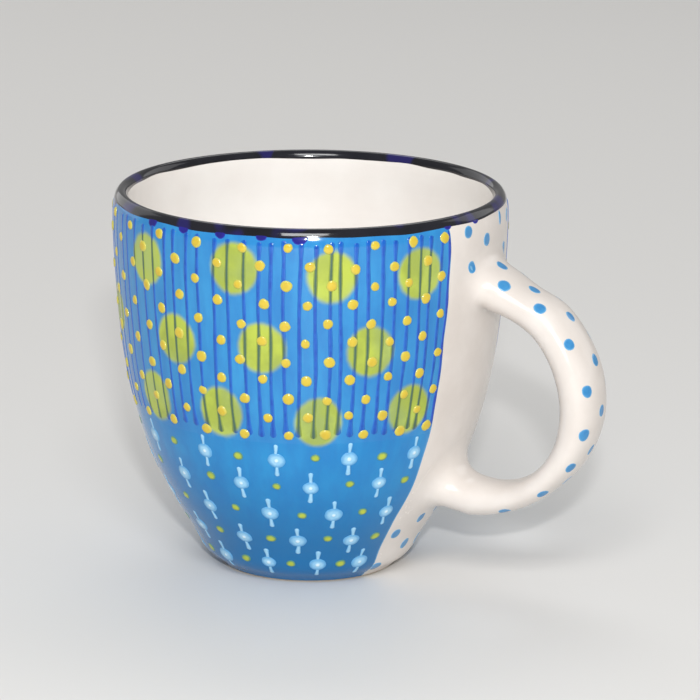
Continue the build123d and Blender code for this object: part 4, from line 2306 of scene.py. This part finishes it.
@dataclass
class Studio:
    """Pale floor, soft lights and the camera."""

    azimuth_deg: float = 25.0
    distance: float = 1088.8 * MM
    height: float = 328.1 * MM
    pitch_deg: float = 14.13
    yaw_deg: float = 0.53
    roll_deg: float = 0.4
    lens: float = 230.5
    sensor: float = 36.0
    clip: Pair = (0.05, 20.0)
    floor_half: float = 4.0
    floor_colour: Colour = srgb(222, 221, 219)
    floor_roughness: float = 0.6
    sky: Colour = (1.0, 0.99, 0.975)
    sky_strength: float = 0.37
    lamps: tuple[Lamp, ...] = (
        Lamp("front_lamp", 0.5, 21, 1.2, (0.05, 0.035), 8.3),
        Lamp("key_softbox", -4, 42, 1.3, (0.5, 0.4), 6.8),
        Lamp("left_panel", -138, 18, 1.3, (1.1, 0.9), 2.2),
        Lamp("right_panel", 118, 24, 1.4, (0.8, 0.8), 2.0),
        Lamp("back_fill", 178, 52, 1.4, (0.9, 0.6), 3.5),
    )

    def camera(self) -> None:
        """Long lens looking slightly down at the mug."""
        turn = Matrix.Rotation(math.radians(self.azimuth_deg), 3, "Z")
        yaw, pitch, roll = (math.radians(a) for a in (self.yaw_deg, self.pitch_deg, self.roll_deg))
        forward = Vector((math.sin(yaw) * math.cos(pitch), math.cos(yaw) * math.cos(pitch), -math.sin(pitch)))
        level = Vector((math.cos(yaw), -math.sin(yaw), 0))
        upright = level.cross(forward)
        right = level * math.cos(roll) + upright * math.sin(roll)
        up = upright * math.cos(roll) - level * math.sin(roll)
        data = bpy.data.cameras.new("camera")
        data.lens = self.lens
        data.sensor_width = self.sensor
        data.clip_start, data.clip_end = self.clip
        camera = bpy.data.objects.new("camera", data)
        bpy.context.scene.collection.objects.link(camera)
        place = Matrix((turn @ right, turn @ up, turn @ -forward)).transposed().to_4x4()
        place.translation = turn @ Vector((0, -self.distance, self.height))
        camera.matrix_world = place
        bpy.context.scene.camera = camera

    def floor(self) -> None:
        """Large pale floor."""
        work = bmesh.new()
        half = self.floor_half
        corners = ((-half, -half), (half, -half), (half, half), (-half, half))
        work.faces.new([work.verts.new((x, y, 0)) for x, y in corners])
        mesh = bpy.data.meshes.new("floor")
        work.to_mesh(mesh)
        work.free()
        material = bpy.data.materials.new("pale_floor")
        material.use_nodes = True
        shader = material.node_tree.nodes["Principled BSDF"]
        shader.inputs["Base Color"].default_value = rgba(self.floor_colour)
        shader.inputs["Roughness"].default_value = self.floor_roughness
        mesh.materials.append(material)
        piece = new_piece("floor", mesh)

    def light(self, lamp: Lamp) -> None:
        """Place one lamp.

        Args:
            lamp: its place, size and power.
        """
        data = bpy.data.lights.new(lamp.name, "AREA")
        data.shape = "RECTANGLE"
        data.size, data.size_y = lamp.size
        data.energy = lamp.watts
        light = bpy.data.objects.new(lamp.name, data)
        light.visible_camera = False
        bpy.context.scene.collection.objects.link(light)
        turn = math.radians(self.azimuth_deg + lamp.azimuth_deg)
        rise = math.radians(lamp.elevation_deg)
        out = Vector((math.sin(turn) * math.cos(rise), -math.cos(turn) * math.cos(rise), math.sin(rise)))
        aim = Vector((0.01, 0, CUP.height / 2))
        facing = out.to_track_quat("Z", "Y").to_matrix().to_4x4()
        light.matrix_world = Matrix.Translation(aim + out * lamp.away) @ facing

    def world(self) -> None:
        """Even pale surroundings."""
        world = bpy.data.worlds.new("studio")
        world.use_nodes = True
        ground = world.node_tree.nodes["Background"]
        ground.inputs["Color"].default_value = rgba(self.sky)
        ground.inputs["Strength"].default_value = self.sky_strength
        bpy.context.scene.world = world

    def build(self) -> None:
        """Set the whole stage."""
        self.camera()
        self.floor()
        self.world()
        for lamp in self.lamps:
            self.light(lamp)
        view = bpy.context.scene.view_settings
        view.view_transform = "Standard"
        view.look = "None"


def dress_clay(finish: bpy.types.Material) -> None:
    """Give the clay body under the glazes its finish."""
    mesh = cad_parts["cup_wall"].data
    mesh.materials.clear()
    mesh.materials.append(finish)


def main() -> None:
    """Build every piece of the mug, then the stage."""
    logging.basicConfig(level=logging.INFO, format="%(name)s: %(message)s")
    clay = BARE_CLAY.make()
    dress_clay(clay)
    white = WHITE_GLAZE.make()
    glaze = WhiteGlaze()
    handle = Handle()
    strap = handle.build(white)
    pieces = [strap, *handle.slip_beds(clay), glaze.zone(white), glaze.lining(), glaze.underside(white)]
    pieces += BluePanel().build()
    pieces += [RimBand().build(), FootRing().build(clay)]
    pieces += Marks().build(handle, strap)
    Studio().build()
    for piece in pieces:
        LOG.info("%s: %d faces", piece.name, len(piece.data.polygons))


if __name__ == "__main__":
    main()
